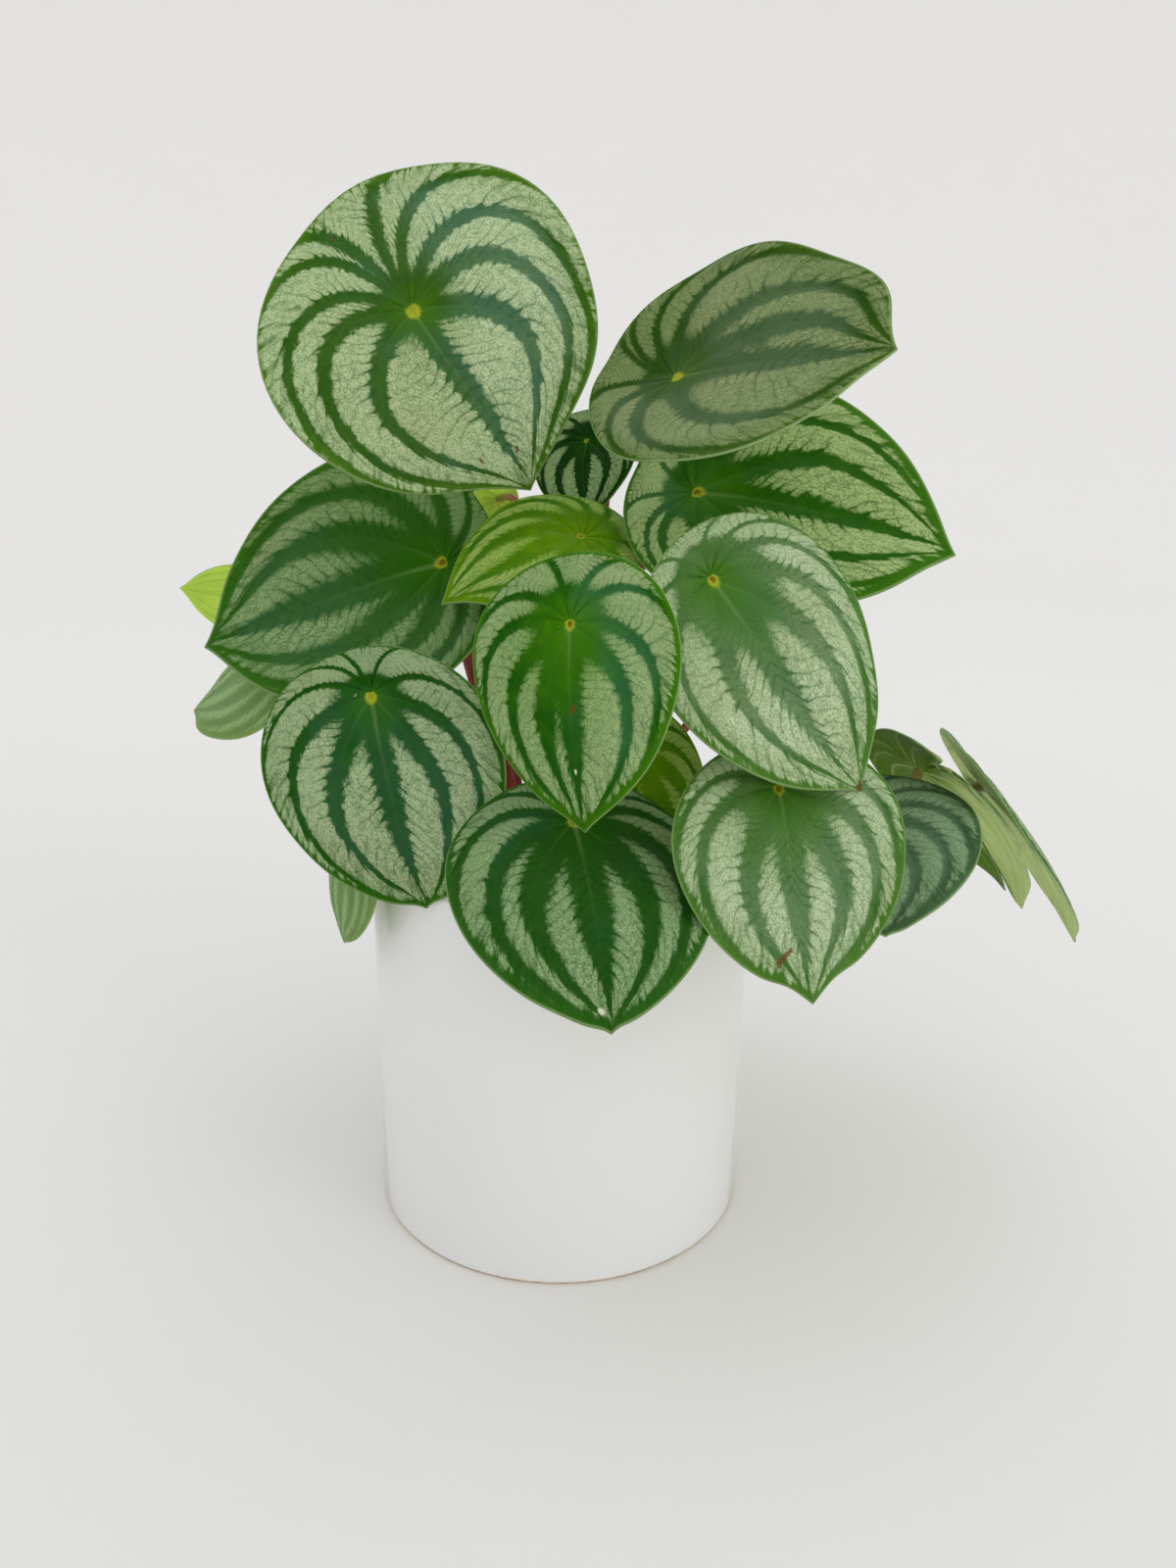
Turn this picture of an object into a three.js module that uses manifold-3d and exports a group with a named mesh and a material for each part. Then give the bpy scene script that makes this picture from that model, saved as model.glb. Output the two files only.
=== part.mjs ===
// Potted peperomia: a rosette of shield-shaped leaves on long stalks, in a plain round pot.
// Millimetres, +Z up, origin at the middle of the pot's flat underside. -Y is the front.
import * as THREE from 'three';
import { mergeVertices } from 'three/addons/utils/BufferGeometryUtils.js';
import Module from 'manifold-3d';

// Driving dimensions of the pot and its soil
const POT_DIAMETER = 110;
const POT_HEIGHT = 110;
const POT_WALL = 4.5;
const POT_FLOOR = 6;
const FOOT_CHAMFER = 1.2;
const RIM_ROUND = 1.8;
const POT_SIDES = 48;
const SOIL_TOP = 98;
const SOIL_DISH = 2.5;
const HOLE_DEPTH = 12.5;
const CLEARANCE = 0.3;

// Driving dimensions of the leaf stalks
const STALK_NECK = 1.5;
const STALK_SIDES = 6;
const STALK_STEP = 12;
const STALK_LEAN = 0.1;
const STALK_RISE = 0.5;
const LEAST_RISE = 24;
const STALK_REACH = 0.3;
const STALK_SLANT = 0.6;

// Driving dimensions shared by all leaf blades
const BLADE_THICKNESS = 1.2;
const MARGIN_THICKNESS = 0.8;
const TIP_SHARPNESS = 0.18;
const TIP_SPREAD = 0.25;
const EGG_SHAPE = 0.16;
const VEIN_BOW = 22;
const HUB_DIMPLE = 2;
const DIMPLE_WIDTH = 0.16;
const SPOKES = 24;
const RINGS = [0.36, 0.7, 1];

// Colours and finishes
const GLAZE = { color: 0xeceae6, roughness: 0.22 };
const SOIL = { color: 0x2e241c, roughness: 0.95 };
const STALK = { color: 0x7a2b34, roughness: 0.5 };
const GROWN = { color: 0x4f7f47, roughness: 0.42 };
const YOUNG = { color: 0x79a23a, roughness: 0.42 };

// Every leaf by hand: where its stalk joins it, its size, how it hangs, how it curls and where it is rooted.
// hub    x, y, z of the place where the stalk meets the blade
// size   length, width, and the share of the length that lies behind the hub
// aim    degrees: compass way that the upper face looks (0 front, 90 right), how far the
//        face looks up, and how far the tip swings from straight downhill
// curl   millimetres: dome, droop of the tip, droop of the back, raised sides, twist
// foot   x, y of the stalk in the soil
// bulge  places where the margin stands out: degrees from the tip, millimetres, degrees wide
// route  two guide points for a stalk that has to find its way between other leaves
const LEAVES = [
  { hub: [-34, -38, 250], size: [76, 79, 0.35], aim: [18, 4, 36], curl: [0, 8, 8, 6, -4], foot: [-8, 6],
    route: [[-26, 28, 160], [-34, 46, 270]], bulge: [[-55, 2.8, 22], [-172, 2.2, 18], [22, -1.8, 20]] },
  { hub: [28, -19, 237], size: [73, 70, 0.23], aim: [-36, 44, 94], curl: [1, -2, -6, 7, -5], foot: [5, 6],
    route: [[20, 34, 180], [40, 46, 264]], bulge: [[-30, 4.5, 20], [150, 0.8, 25]] },
  { hub: [35, -4, 209], size: [86, 76, 0.2], aim: [-10, 46, 78], curl: [2, 6, -3, 6, -3], foot: [11, -3],
    route: [[14, -6, 150], [37, 8, 186]] },
  { hub: [6, 18, 222], size: [36, 31, 0.27], aim: [-25, 30, 12], curl: [2, 0, 0, 1, 0], foot: [1, 3] },
  { hub: [-32, -4, 190], size: [87, 75, 0.18], aim: [-11, 33, -68], curl: [1, 5, 0, 6, 4], foot: [-10, -6],
    route: [[-22, -6, 180], [-18, 16, 107]], bulge: [[-80, -2.5, 25]] },
  { hub: [5, -16, 198], size: [53, 43, 0.28], aim: [9, 57, -73], curl: [3, 12, 0, 0, -2], foot: [2, -6],
    young: true },
  { hub: [3.4, -78, 185.2], size: [60, 49, 0.25], aim: [-25, 9, 8], curl: [3, 2, 4, 0, -2], foot: [0, -12] },
  { hub: [34, -62, 193], size: [72, 57, 0.16], aim: [25, 22, 32], curl: [2, 2, 0, 2, 0], foot: [8, -9] },
  { hub: [-45, -48, 163], size: [71, 62, 0.16], aim: [-12, 0, 11], curl: [3, 5, 1, 4, 5], foot: [-12, -13],
    route: [[-16, -20, 150], [-44, -22, 148]], bulge: [[0, -2.4, 12]] },
  { hub: [4, -63, 136], size: [69, 62, 0.18], aim: [14, 53, -2], curl: [5, -2, -3, 0, -4], foot: [1, -18],
    bulge: [[0, -1.9, 9]] },
  { hub: [51, -66, 146], size: [62, 58, 0.19], aim: [18, 25, 3], curl: [2, 4, 1, 2, -2], foot: [13, -16],
    bulge: [[-15, -1.1, 11], [15, -1.1, 11]] },
  { hub: [80, -22, 124], size: [65, 62, 0.28], aim: [-20, 64, 18], curl: [1, -3, 1, 1, 0], foot: [19, -8],
    bulge: [[0, -1.6, 8]] },
  { hub: [102, -2, 133], size: [68, 58, 0.24], aim: [111, 39, -18], curl: [4, 2, 0, 0, -2], foot: [20, -2] },
  { hub: [-95, 49, 169.3], size: [37, 29, 0.26], aim: [180, 25, 108], curl: [2, 2, 0, 0, 0], foot: [-15, 5],
    route: [[-28, 24, 152], [-86, 30, 146]], young: true },
  { hub: [-76.5, 11, 161], size: [62, 54, 0.25], aim: [-55, 48, -51], curl: [3, 1, 0, 0, 0], foot: [-17, -1] },
  { hub: [-54, -26, 117.5], size: [44, 36, 0.25], aim: [-58, 8, -14], curl: [2, 2, 0, 0, 0], foot: [-17, -8] },
  { hub: [18, -43, 149], size: [46, 30, 0.25], aim: [15, 25, 20], curl: [2, 3, 1, 1, 0], foot: [7, -13],
    young: true },
  { hub: [-19, 20, 206], size: [21, 16, 0.25], aim: [-150, 20, 20], curl: [1, 1, 0, 0, 0], foot: [-3, 5],
    young: true },
  { hub: [126, 13, 124], size: [82, 63, 0.25], aim: [89, 36, 2], curl: [3, 2, 0, 0, -1], foot: [20, 5],
    route: [[24, 14, 130], [104, 52, 112]] },
  { hub: [-47, 54, 214], size: [56, 50, 0.24], aim: [-165, 30, 10], curl: [3, 5, 1, 1, 0], foot: [-14, 11],
    route: [[-16, 30, 140], [-42, 44, 190]] },
  { hub: [52, 46, 204], size: [74, 68, 0.24], aim: [140, 28, -10], curl: [3, 5, 1, 1, 0], foot: [8, 12],
    route: [[12, 24, 150], [40, 34, 188]] },
  { hub: [-4, 58, 176], size: [62, 56, 0.22], aim: [180, 30, 8], curl: [3, 5, 1, 1, 0], foot: [3, 16] },
  { hub: [-62, 53, 140], size: [66, 58, 0.22], aim: [-130, 32, -10], curl: [3, 5, 1, 1, 0], foot: [-20, 13] },
  { hub: [62, 48, 156], size: [66, 60, 0.22], aim: [135, 32, 12], curl: [3, 5, 1, 1, 0], foot: [15, 10] },
  { hub: [-32, 28, 256], size: [56, 52, 0.25], aim: [-170, 45, -12], curl: [3, 5, 1, 1, 0], foot: [-2, 11],
    route: [[-3, 34, 150], [-23, 29, 214]] },
  { hub: [54, 30, 248], size: [54, 48, 0.24], aim: [110, 30, 5], curl: [3, 5, 1, 1, 0], foot: [13, 4],
    route: [[15, 5, 165], [41, 32, 226]] },
  { hub: [22, 82, 114], size: [58, 50, 0.22], aim: [172, 20, -6], curl: [3, 5, 1, 1, 0], foot: [6, 21] },
  { hub: [-44, 66, 122], size: [58, 50, 0.22], aim: [-150, 25, 8], curl: [3, 5, 1, 1, 0], foot: [-9, 17] },
];

const wasm = await Module();
wasm.setup();

const finish = ({ color, roughness }) => new THREE.MeshStandardMaterial({ color, roughness, metalness: 0 });

const piece = (name, geometry, look) => {
  const mesh = new THREE.Mesh(geometry, finish(look));
  mesh.name = name;
  return mesh;
};

const twoDigits = (index) => String(index + 1).padStart(2, '0');

// Closed solids for cutting

const toSolid = (geometry) => {
  const bare = geometry.clone();
  bare.deleteAttribute('normal');
  bare.deleteAttribute('uv');
  const merged = mergeVertices(bare, 1e-4);
  const vertProperties = new Float32Array(merged.attributes.position.array);
  const triVerts = new Uint32Array(merged.index.array);
  return new wasm.Manifold(new wasm.Mesh({ numProp: 3, vertProperties, triVerts }));
};

const toGeometry = (solid) => {
  const { vertProperties, triVerts } = solid.getMesh();
  const geometry = new THREE.BufferGeometry();
  geometry.setAttribute('position', new THREE.BufferAttribute(vertProperties, 3));
  geometry.setIndex(new THREE.BufferAttribute(triVerts, 1));
  return geometry;
};

const turned = (profile) => {
  const points = profile.map(([radius, height]) => new THREE.Vector2(radius, height));
  return new THREE.LatheGeometry(points, POT_SIDES).rotateX(Math.PI / 2);
};

// Frame of a blade: across, towards the tip, and out of the upper face

const bladeFrame = ([face, tilt, turn]) => {
  const [a, e, t] = [face, tilt, turn].map(THREE.MathUtils.degToRad);
  const normal = new THREE.Vector3(Math.cos(e) * Math.sin(a), -Math.cos(e) * Math.cos(a), Math.sin(e));
  const downhill = new THREE.Vector3(Math.sin(e) * Math.sin(a), -Math.sin(e) * Math.cos(a), -Math.cos(e));
  const level = new THREE.Vector3(Math.cos(a), Math.sin(a), 0);
  const tipward = downhill.multiplyScalar(Math.cos(t)).addScaledVector(level, Math.sin(t));
  const across = new THREE.Vector3().crossVectors(tipward, normal);
  return { across, tipward, normal };
};

// Margin of a blade seen flat: an egg with a drawn-out tip at angle 0

const marginPoint = (angle, { size: [length, width, share], bulge = [] }) => {
  const reach = Math.cos(angle) + 1 + TIP_SHARPNESS * Math.exp(-Math.abs(angle) / TIP_SPREAD);
  const y = length * (reach / (2 + TIP_SHARPNESS) - share);
  const x = (width / 2) * Math.sin(angle) * (1 - EGG_SHAPE * Math.cos(angle)) / (1 + EGG_SHAPE ** 2 / 2);
  let growth = 0;
  for (const [place, amount, wide] of bulge) {
    const away = Math.abs(angle - THREE.MathUtils.degToRad(place));
    const gap = THREE.MathUtils.radToDeg(Math.min(away, 2 * Math.PI - away));
    growth += amount * Math.exp(-((gap / wide) ** 2));
  }
  const scale = 1 + growth / Math.hypot(x, y);
  return [x * scale, y * scale];
};

// Point of a blade seen flat, on the bowed vein that runs from the hub to the margin at this angle

const planPoint = (angle, ring, leaf) => {
  const [x, y] = marginPoint(angle, leaf);
  const reach = Math.hypot(x, y) / 2;
  const heading = Math.atan2(x, y);
  const start = heading + THREE.MathUtils.degToRad(VEIN_BOW) * Math.sin(heading);
  const pull = 2 * ring * (1 - ring);
  return [pull * reach * Math.sin(start) + ring ** 2 * x, pull * reach * Math.cos(start) + ring ** 2 * y];
};

// Height of the blade's middle layer above the hub's level

const surfaceHeight = (x, y, [length, width, share], [dome, droop, back, keel, twist]) => {
  const half = width / 2;
  const middle = length * (0.5 - share);
  const spread = (x / half) ** 2 + ((y - middle) / (length / 2)) ** 2 - (middle / (length / 2)) ** 2;
  const dimple = 1 - Math.exp(-(x * x + y * y) / (DIMPLE_WIDTH * length) ** 2);
  const tipShare = Math.max(0, y / ((1 - share) * length));
  const backShare = Math.max(0, -y / (share * length));
  return HUB_DIMPLE * dimple - dome * spread + keel * (Math.sqrt(x * x + 9) - 3) / half
    - droop * tipShare ** 2 - back * backShare ** 2 + twist * x * y / (half * length);
};

// Closed thin body with its upper and lower face divided alike

const bladeGeometry = (leaf) => {
  const { hub, size, aim, curl } = leaf;
  const { across, tipward, normal } = bladeFrame(aim);
  const positions = [];
  const addPoint = (x, y, lift) => {
    const height = surfaceHeight(x, y, size, curl) + lift;
    const point = new THREE.Vector3(...hub).addScaledVector(across, x).addScaledVector(tipward, y);
    positions.push(...point.addScaledVector(normal, height).toArray());
  };
  for (const side of [1, -1]) {
    addPoint(0, 0, side * BLADE_THICKNESS / 2);
    for (const ring of RINGS) {
      const thickness = ring < 1 ? BLADE_THICKNESS : MARGIN_THICKNESS;
      for (let spoke = 0; spoke < SPOKES; spoke += 1) {
        const turn = 2 * Math.PI * spoke / SPOKES;
        const angle = turn > Math.PI ? turn - 2 * Math.PI : turn;
        addPoint(...planPoint(angle, ring, leaf), side * thickness / 2);
      }
    }
  }
  const layer = 1 + RINGS.length * SPOKES;
  const at = (below, ring, spoke) => below * layer + 1 + ring * SPOKES + (spoke % SPOKES);
  const faces = [];
  const addFace = (below, a, b, c) => faces.push(...(below ? [a, b, c] : [a, c, b]));
  for (let spoke = 0; spoke < SPOKES; spoke += 1) {
    for (const below of [0, 1]) {
      addFace(below, below * layer, at(below, 0, spoke), at(below, 0, spoke + 1));
      for (let ring = 1; ring < RINGS.length; ring += 1) {
        addFace(below, at(below, ring - 1, spoke), at(below, ring, spoke), at(below, ring, spoke + 1));
        addFace(below, at(below, ring - 1, spoke), at(below, ring, spoke + 1), at(below, ring - 1, spoke + 1));
      }
    }
    const rim = RINGS.length - 1;
    addFace(0, at(0, rim, spoke), at(1, rim, spoke), at(1, rim, spoke + 1));
    addFace(0, at(0, rim, spoke), at(1, rim, spoke + 1), at(0, rim, spoke + 1));
  }
  const geometry = new THREE.BufferGeometry();
  geometry.setAttribute('position', new THREE.Float32BufferAttribute(positions, 3));
  geometry.setIndex(faces);
  return geometry;
};

// Stalk: straight up out of the soil, then an arch that meets the blade from below

const stalkRadius = ({ size }) => 0.8 + 0.012 * size[0];

const stalkCurve = ({ hub, size, aim, foot, route }) => {
  const { normal } = bladeFrame(aim);
  const neck = new THREE.Vector3(...foot, SOIL_TOP + STALK_NECK);
  const end = new THREE.Vector3(...hub);
  const span = end.clone().sub(neck);
  const rise = Math.max(STALK_RISE * span.z, LEAST_RISE);
  const slant = span.clone().setLength(STALK_SLANT).sub(normal).setLength(STALK_REACH * span.length());
  const guides = route
    ? route.map((point) => new THREE.Vector3(...point))
    : [neck.clone().add(new THREE.Vector3(span.x * STALK_LEAN, span.y * STALK_LEAN, rise)),
      end.clone().add(slant)];
  const arrival = end.clone().sub(guides[1]).normalize();
  const edgeLift = stalkRadius({ size }) * arrival.cross(normal).length();
  const joint = end.clone().addScaledVector(normal, -BLADE_THICKNESS / 2 - CLEARANCE - edgeLift);
  const arch = new THREE.CubicBezierCurve3(neck, ...guides, joint);
  const steps = Math.round(arch.getLength() / STALK_STEP);
  const bottom = neck.clone();
  bottom.z -= arch.getLength() / steps;
  const path = new THREE.CurvePath();
  path.add(new THREE.LineCurve3(bottom, neck));
  path.add(arch);
  return { path, steps: steps + 1 };
};

const stalkGeometry = (leaf) => {
  const { path, steps } = stalkCurve(leaf);
  const section = new THREE.Shape();
  section.absarc(0, 0, stalkRadius(leaf), 0, 2 * Math.PI);
  return new THREE.ExtrudeGeometry(section, { steps, curveSegments: STALK_SIDES / 2, extrudePath: path });
};

// Pot: turned, with a flat underside, a chamfered foot and a rounded rim

const potGeometry = () => {
  const outer = POT_DIAMETER / 2;
  const inner = outer - POT_WALL;
  const half = RIM_ROUND / 2;
  return turned([
    [0, 0],
    [outer - FOOT_CHAMFER, 0],
    [outer, FOOT_CHAMFER],
    [outer, POT_HEIGHT - RIM_ROUND],
    [outer - half * 0.6, POT_HEIGHT - half * 0.6],
    [outer - RIM_ROUND, POT_HEIGHT],
    [inner + half, POT_HEIGHT],
    [inner, POT_HEIGHT - half],
    [inner, POT_FLOOR],
    [0, POT_FLOOR],
  ]);
};

// Soil: fills the pot, lower at the wall, with a plain hole for every stalk

const soilGeometry = () => {
  const outer = POT_DIAMETER / 2 - POT_WALL - CLEARANCE;
  const body = turned([
    [0, POT_FLOOR + CLEARANCE],
    [outer, POT_FLOOR + CLEARANCE],
    [outer, SOIL_TOP - SOIL_DISH],
    [outer * 0.6, SOIL_TOP],
    [0, SOIL_TOP],
  ]);
  let solid = toSolid(body);
  for (const leaf of LEAVES) {
    const radius = stalkRadius(leaf) + CLEARANCE;
    const hole = new THREE.CylinderGeometry(radius, radius, 2 * HOLE_DEPTH, STALK_SIDES);
    hole.rotateX(Math.PI / 2).translate(...leaf.foot, SOIL_TOP);
    solid = solid.subtract(toSolid(hole));
  }
  return toGeometry(solid);
};

const plant = new THREE.Group();
plant.add(piece('pot', potGeometry(), GLAZE));
plant.add(piece('soil', soilGeometry(), SOIL));
LEAVES.forEach((leaf, index) => {
  plant.add(piece(`petiole_${twoDigits(index)}`, stalkGeometry(leaf), STALK));
  plant.add(piece(`leaf_${twoDigits(index)}`, bladeGeometry(leaf), leaf.young ? YOUNG : GROWN));
});

export default plant;
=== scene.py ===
"""Potted peperomia: silver-striped, shield-shaped leaves on red stalks, in a glossy white pot.

Sizes in the tables are millimetres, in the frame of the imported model: +Z is up, the origin is the middle
of the pot's underside, and -Y is the front. Angles are degrees.
"""
import math
import random

import bmesh
import bpy
import numpy as np
from mathutils import Matrix, Vector, noise


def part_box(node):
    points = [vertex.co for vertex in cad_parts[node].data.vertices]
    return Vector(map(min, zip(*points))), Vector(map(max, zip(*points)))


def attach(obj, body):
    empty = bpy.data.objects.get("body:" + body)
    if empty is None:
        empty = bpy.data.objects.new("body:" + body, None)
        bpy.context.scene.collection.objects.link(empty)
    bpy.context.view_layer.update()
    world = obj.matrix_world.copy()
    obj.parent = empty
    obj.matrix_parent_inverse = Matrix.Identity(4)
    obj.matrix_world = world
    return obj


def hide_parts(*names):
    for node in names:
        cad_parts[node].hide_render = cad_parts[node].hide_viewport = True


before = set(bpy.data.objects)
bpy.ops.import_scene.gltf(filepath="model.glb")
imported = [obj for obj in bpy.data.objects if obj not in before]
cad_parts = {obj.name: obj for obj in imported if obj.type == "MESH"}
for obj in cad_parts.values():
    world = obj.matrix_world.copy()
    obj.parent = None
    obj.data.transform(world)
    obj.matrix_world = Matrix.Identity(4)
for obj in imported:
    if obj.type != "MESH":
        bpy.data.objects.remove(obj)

bl_info = {
    "name": "Potted Peperomia",
    "version": (1, 0, 0),
    "blender": (4, 5, 0),
    "location": "3D View > Sidebar > Peperomia",
    "description": "Builds a potted peperomia piece by piece: pot, soil, stalks, blades and a plain stage",
    "category": "Add Mesh",
}

MM = 0.001
SEED = 11

# Pot and soil; the soil is level out to a share of its radius
POT_FLOOR = 6
POT_SIDES = 128
POT_CREASE = 32
FOOT_ROUND = 1.2
RIM_ROUND = 1.8
INNER_ROUND = 0.9
WELL_ROUND = 3
SOIL_TOP = 98
SOIL_DISH = 2.5
SOIL_LEVEL = 0.6
SOIL_GAP = 0.1
SOIL_CREASE = 50
SOIL_SPOKES = 96
SOIL_RINGS = 30
SOIL_MIDDLE = 0.02
LUMPS_PER_METRE = 160
LUMP_SHARE = 0.6

# Crumbs: how far out they lie, how deep they sit, and the ranges of their sizes, shapes and turns
CRUMB_SPREAD = 0.96
CRUMB_LIFT = 0.15
CRUMB_SIZES = (0.45, 1.5)
CRUMB_SHAPES = ((0.7, 1.5), (0.6, 1.1), (0.5, 0.9))
CRUMB_TURN = 6.3
CRUMB_TILT = 1
CRUMB_ROUGHNESS = 0.45
CRUMB_GRAIN = 3.1

# Stalks; the radius grows with the blade's length and swells at the root and in a collar at the top
STALK_NECK = 1.5
STALK_LEAN = 0.1
STALK_RISE = 0.5
LEAST_RISE = 24
STALK_REACH = 0.3
STALK_SLANT = 0.6
STALK_SIDES = 14
STALK_CREASE = 60
STALK_RINGS = 40
STALK_ROOT = 11
STALK_BITE = 0.3
STALK_RADIUS = 0.8
RADIUS_GROWTH = 0.012
STALK_WAIST = 0.9
FLARE_LENGTH = 0.12
COLLAR = 0.35
COLLAR_LENGTH = 0.02

# Blades
BLADE_THICKNESS = 1.2
TIP_SHARPNESS = 0.18
TIP_SPREAD = 0.25
EGG_SHAPE = 0.16
VEIN_BOW = 22
HUB_DIMPLE = 2
DIMPLE_WIDTH = 0.16
KEEL_ROUND = 3
SPOKES = 96
RINGS = (0.015, 0.05, 0.09, 0.13, 0.17, 0.21, 0.26, 0.31, 0.36, 0.42, 0.48, 0.54, 0.6, 0.66, 0.72, 0.78,
         0.84, 0.89, 0.93, 0.96, 0.98, 0.993, 1.0)
TIP_CROWDING = 0.35
GROWN_LENGTH = 75
CALM_HUB = 0.25
CALM_MARGIN = 0.12
WAVE_LOBES = (3, 5, 8)
EDGE_TAPER = 0.1
EDGE_SHARE = 0.4

# Stage, in metres: the floor's rim curves up to a steep slope, and one large lamp stands at the right
FLOOR_SIDES = 96
FLOOR_BEND = 1.6
FLOOR_STEPS = 16
FLOOR_SLOPE = 88
KEY_PLACE = (1.6, -1.35, 1.0)
KEY_AIM = (0, 0, 0.15)
KEY_SIZE = (1.0, 1.3)
KEY_COLOUR = (1.0, 0.99, 0.97)
SKY_COLOUR = (0.97, 0.985, 1.0, 1)

# Camera, in millimetres and degrees, found by matching the photo's outlines
CAMERA_PLACE = (7.4, -325.63, 222.25)
CAMERA_DOWN = 16.3
CAMERA_ROLL = 0.7
SENSOR_WIDTH = 36
CLIP_START = 10

# Fixed colours
FIELD_TINGE = "#b0a878"
PALE_MARK = "#dfe4c8"
# olive of the painted shade on some undersides
SHADE_OLIVE = "#4f7800"
JOINT_BROWN = "#a08450"
SOIL_FIBRE = "#8a6f55"
SOIL_SPECK = "#b7ad9e"
DARK_CLAY = "#b99a76"

# Pale marks on an upper face and brown ones on an underside, given as the scars are
PALE_MARKS = {
    7: ((0.0, 0.7, 0.02, 1.5, 0),),
    8: ((0.415, 0.635, 0.03, 3, 20),),
    9: ((0.125, 0.03, 0.02, 3, 0),),
    10: ((0.03, 0.93, 0.022, 1, 0),),
}
BELOW_SCARS = {
    13: ((0.88, 0.3, 0.06, 2, 30), (0.58, 0.76, 0.05, 2, 0)),
    19: ((-0.17, 0.93, 0.06, 3, 0),),
}

# Places eaten or torn out of a margin, in this finer model only: degrees from the tip, millimetres of
# depth, degrees wide
BITES = {13: ((122, 14, 5.5), (-9.5, 16, 3.2))}

# The stripe pattern, in degrees: half of the widest angle between two main veins, how much of a field at each
# end belongs to its vein, and how far from a vein the puckers are full. Last, the reach of a point just past
# the tip, where the veins meet.
WIDEST_FIELD = 40
VEIN_GAP = 0.2
FULL_BULGE = 14
PAST_TIP = 1.0001

# Fine side veins: how many from hub to margin, and how far inward they set out from the vein nearer the tip
SIDE_VEINS_ABOVE = 17.0
SIDE_VEINS_BELOW = 9.0
SIDE_VEIN_SLANT = 0.33

# Where the hub's ring, the dot in it and the thin rim fade in, as shares of the reach
HUB_RING = (0.055, 0.03)
HUB_DOT = (0.034, 0.014)
THIN_RIM = (0.984, 0.995)

# How fine the upper face's patterns are: jagged edges, rays from the hub, net, coarse and fine grain
JAG_SCALE = 24.0
RAY_SCALE = 34.0
NET_SCALE = 19.0
COARSE_GRAIN = 38.0
FINE_GRAIN = 110.0

# The shine of the faces, and the seeds of their patterns
SHINE_ABOVE = 0.03
SHINE_BELOW = 0.05
SEED_STEP = 7.3
SEED_BELOW = 3.0


def row(hub, size, aim, curl, foot, tone, **more):
    """One leaf of the table below."""
    return dict(hub=hub, size=size, aim=aim, curl=curl, foot=foot, tone=tone, **more)
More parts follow.
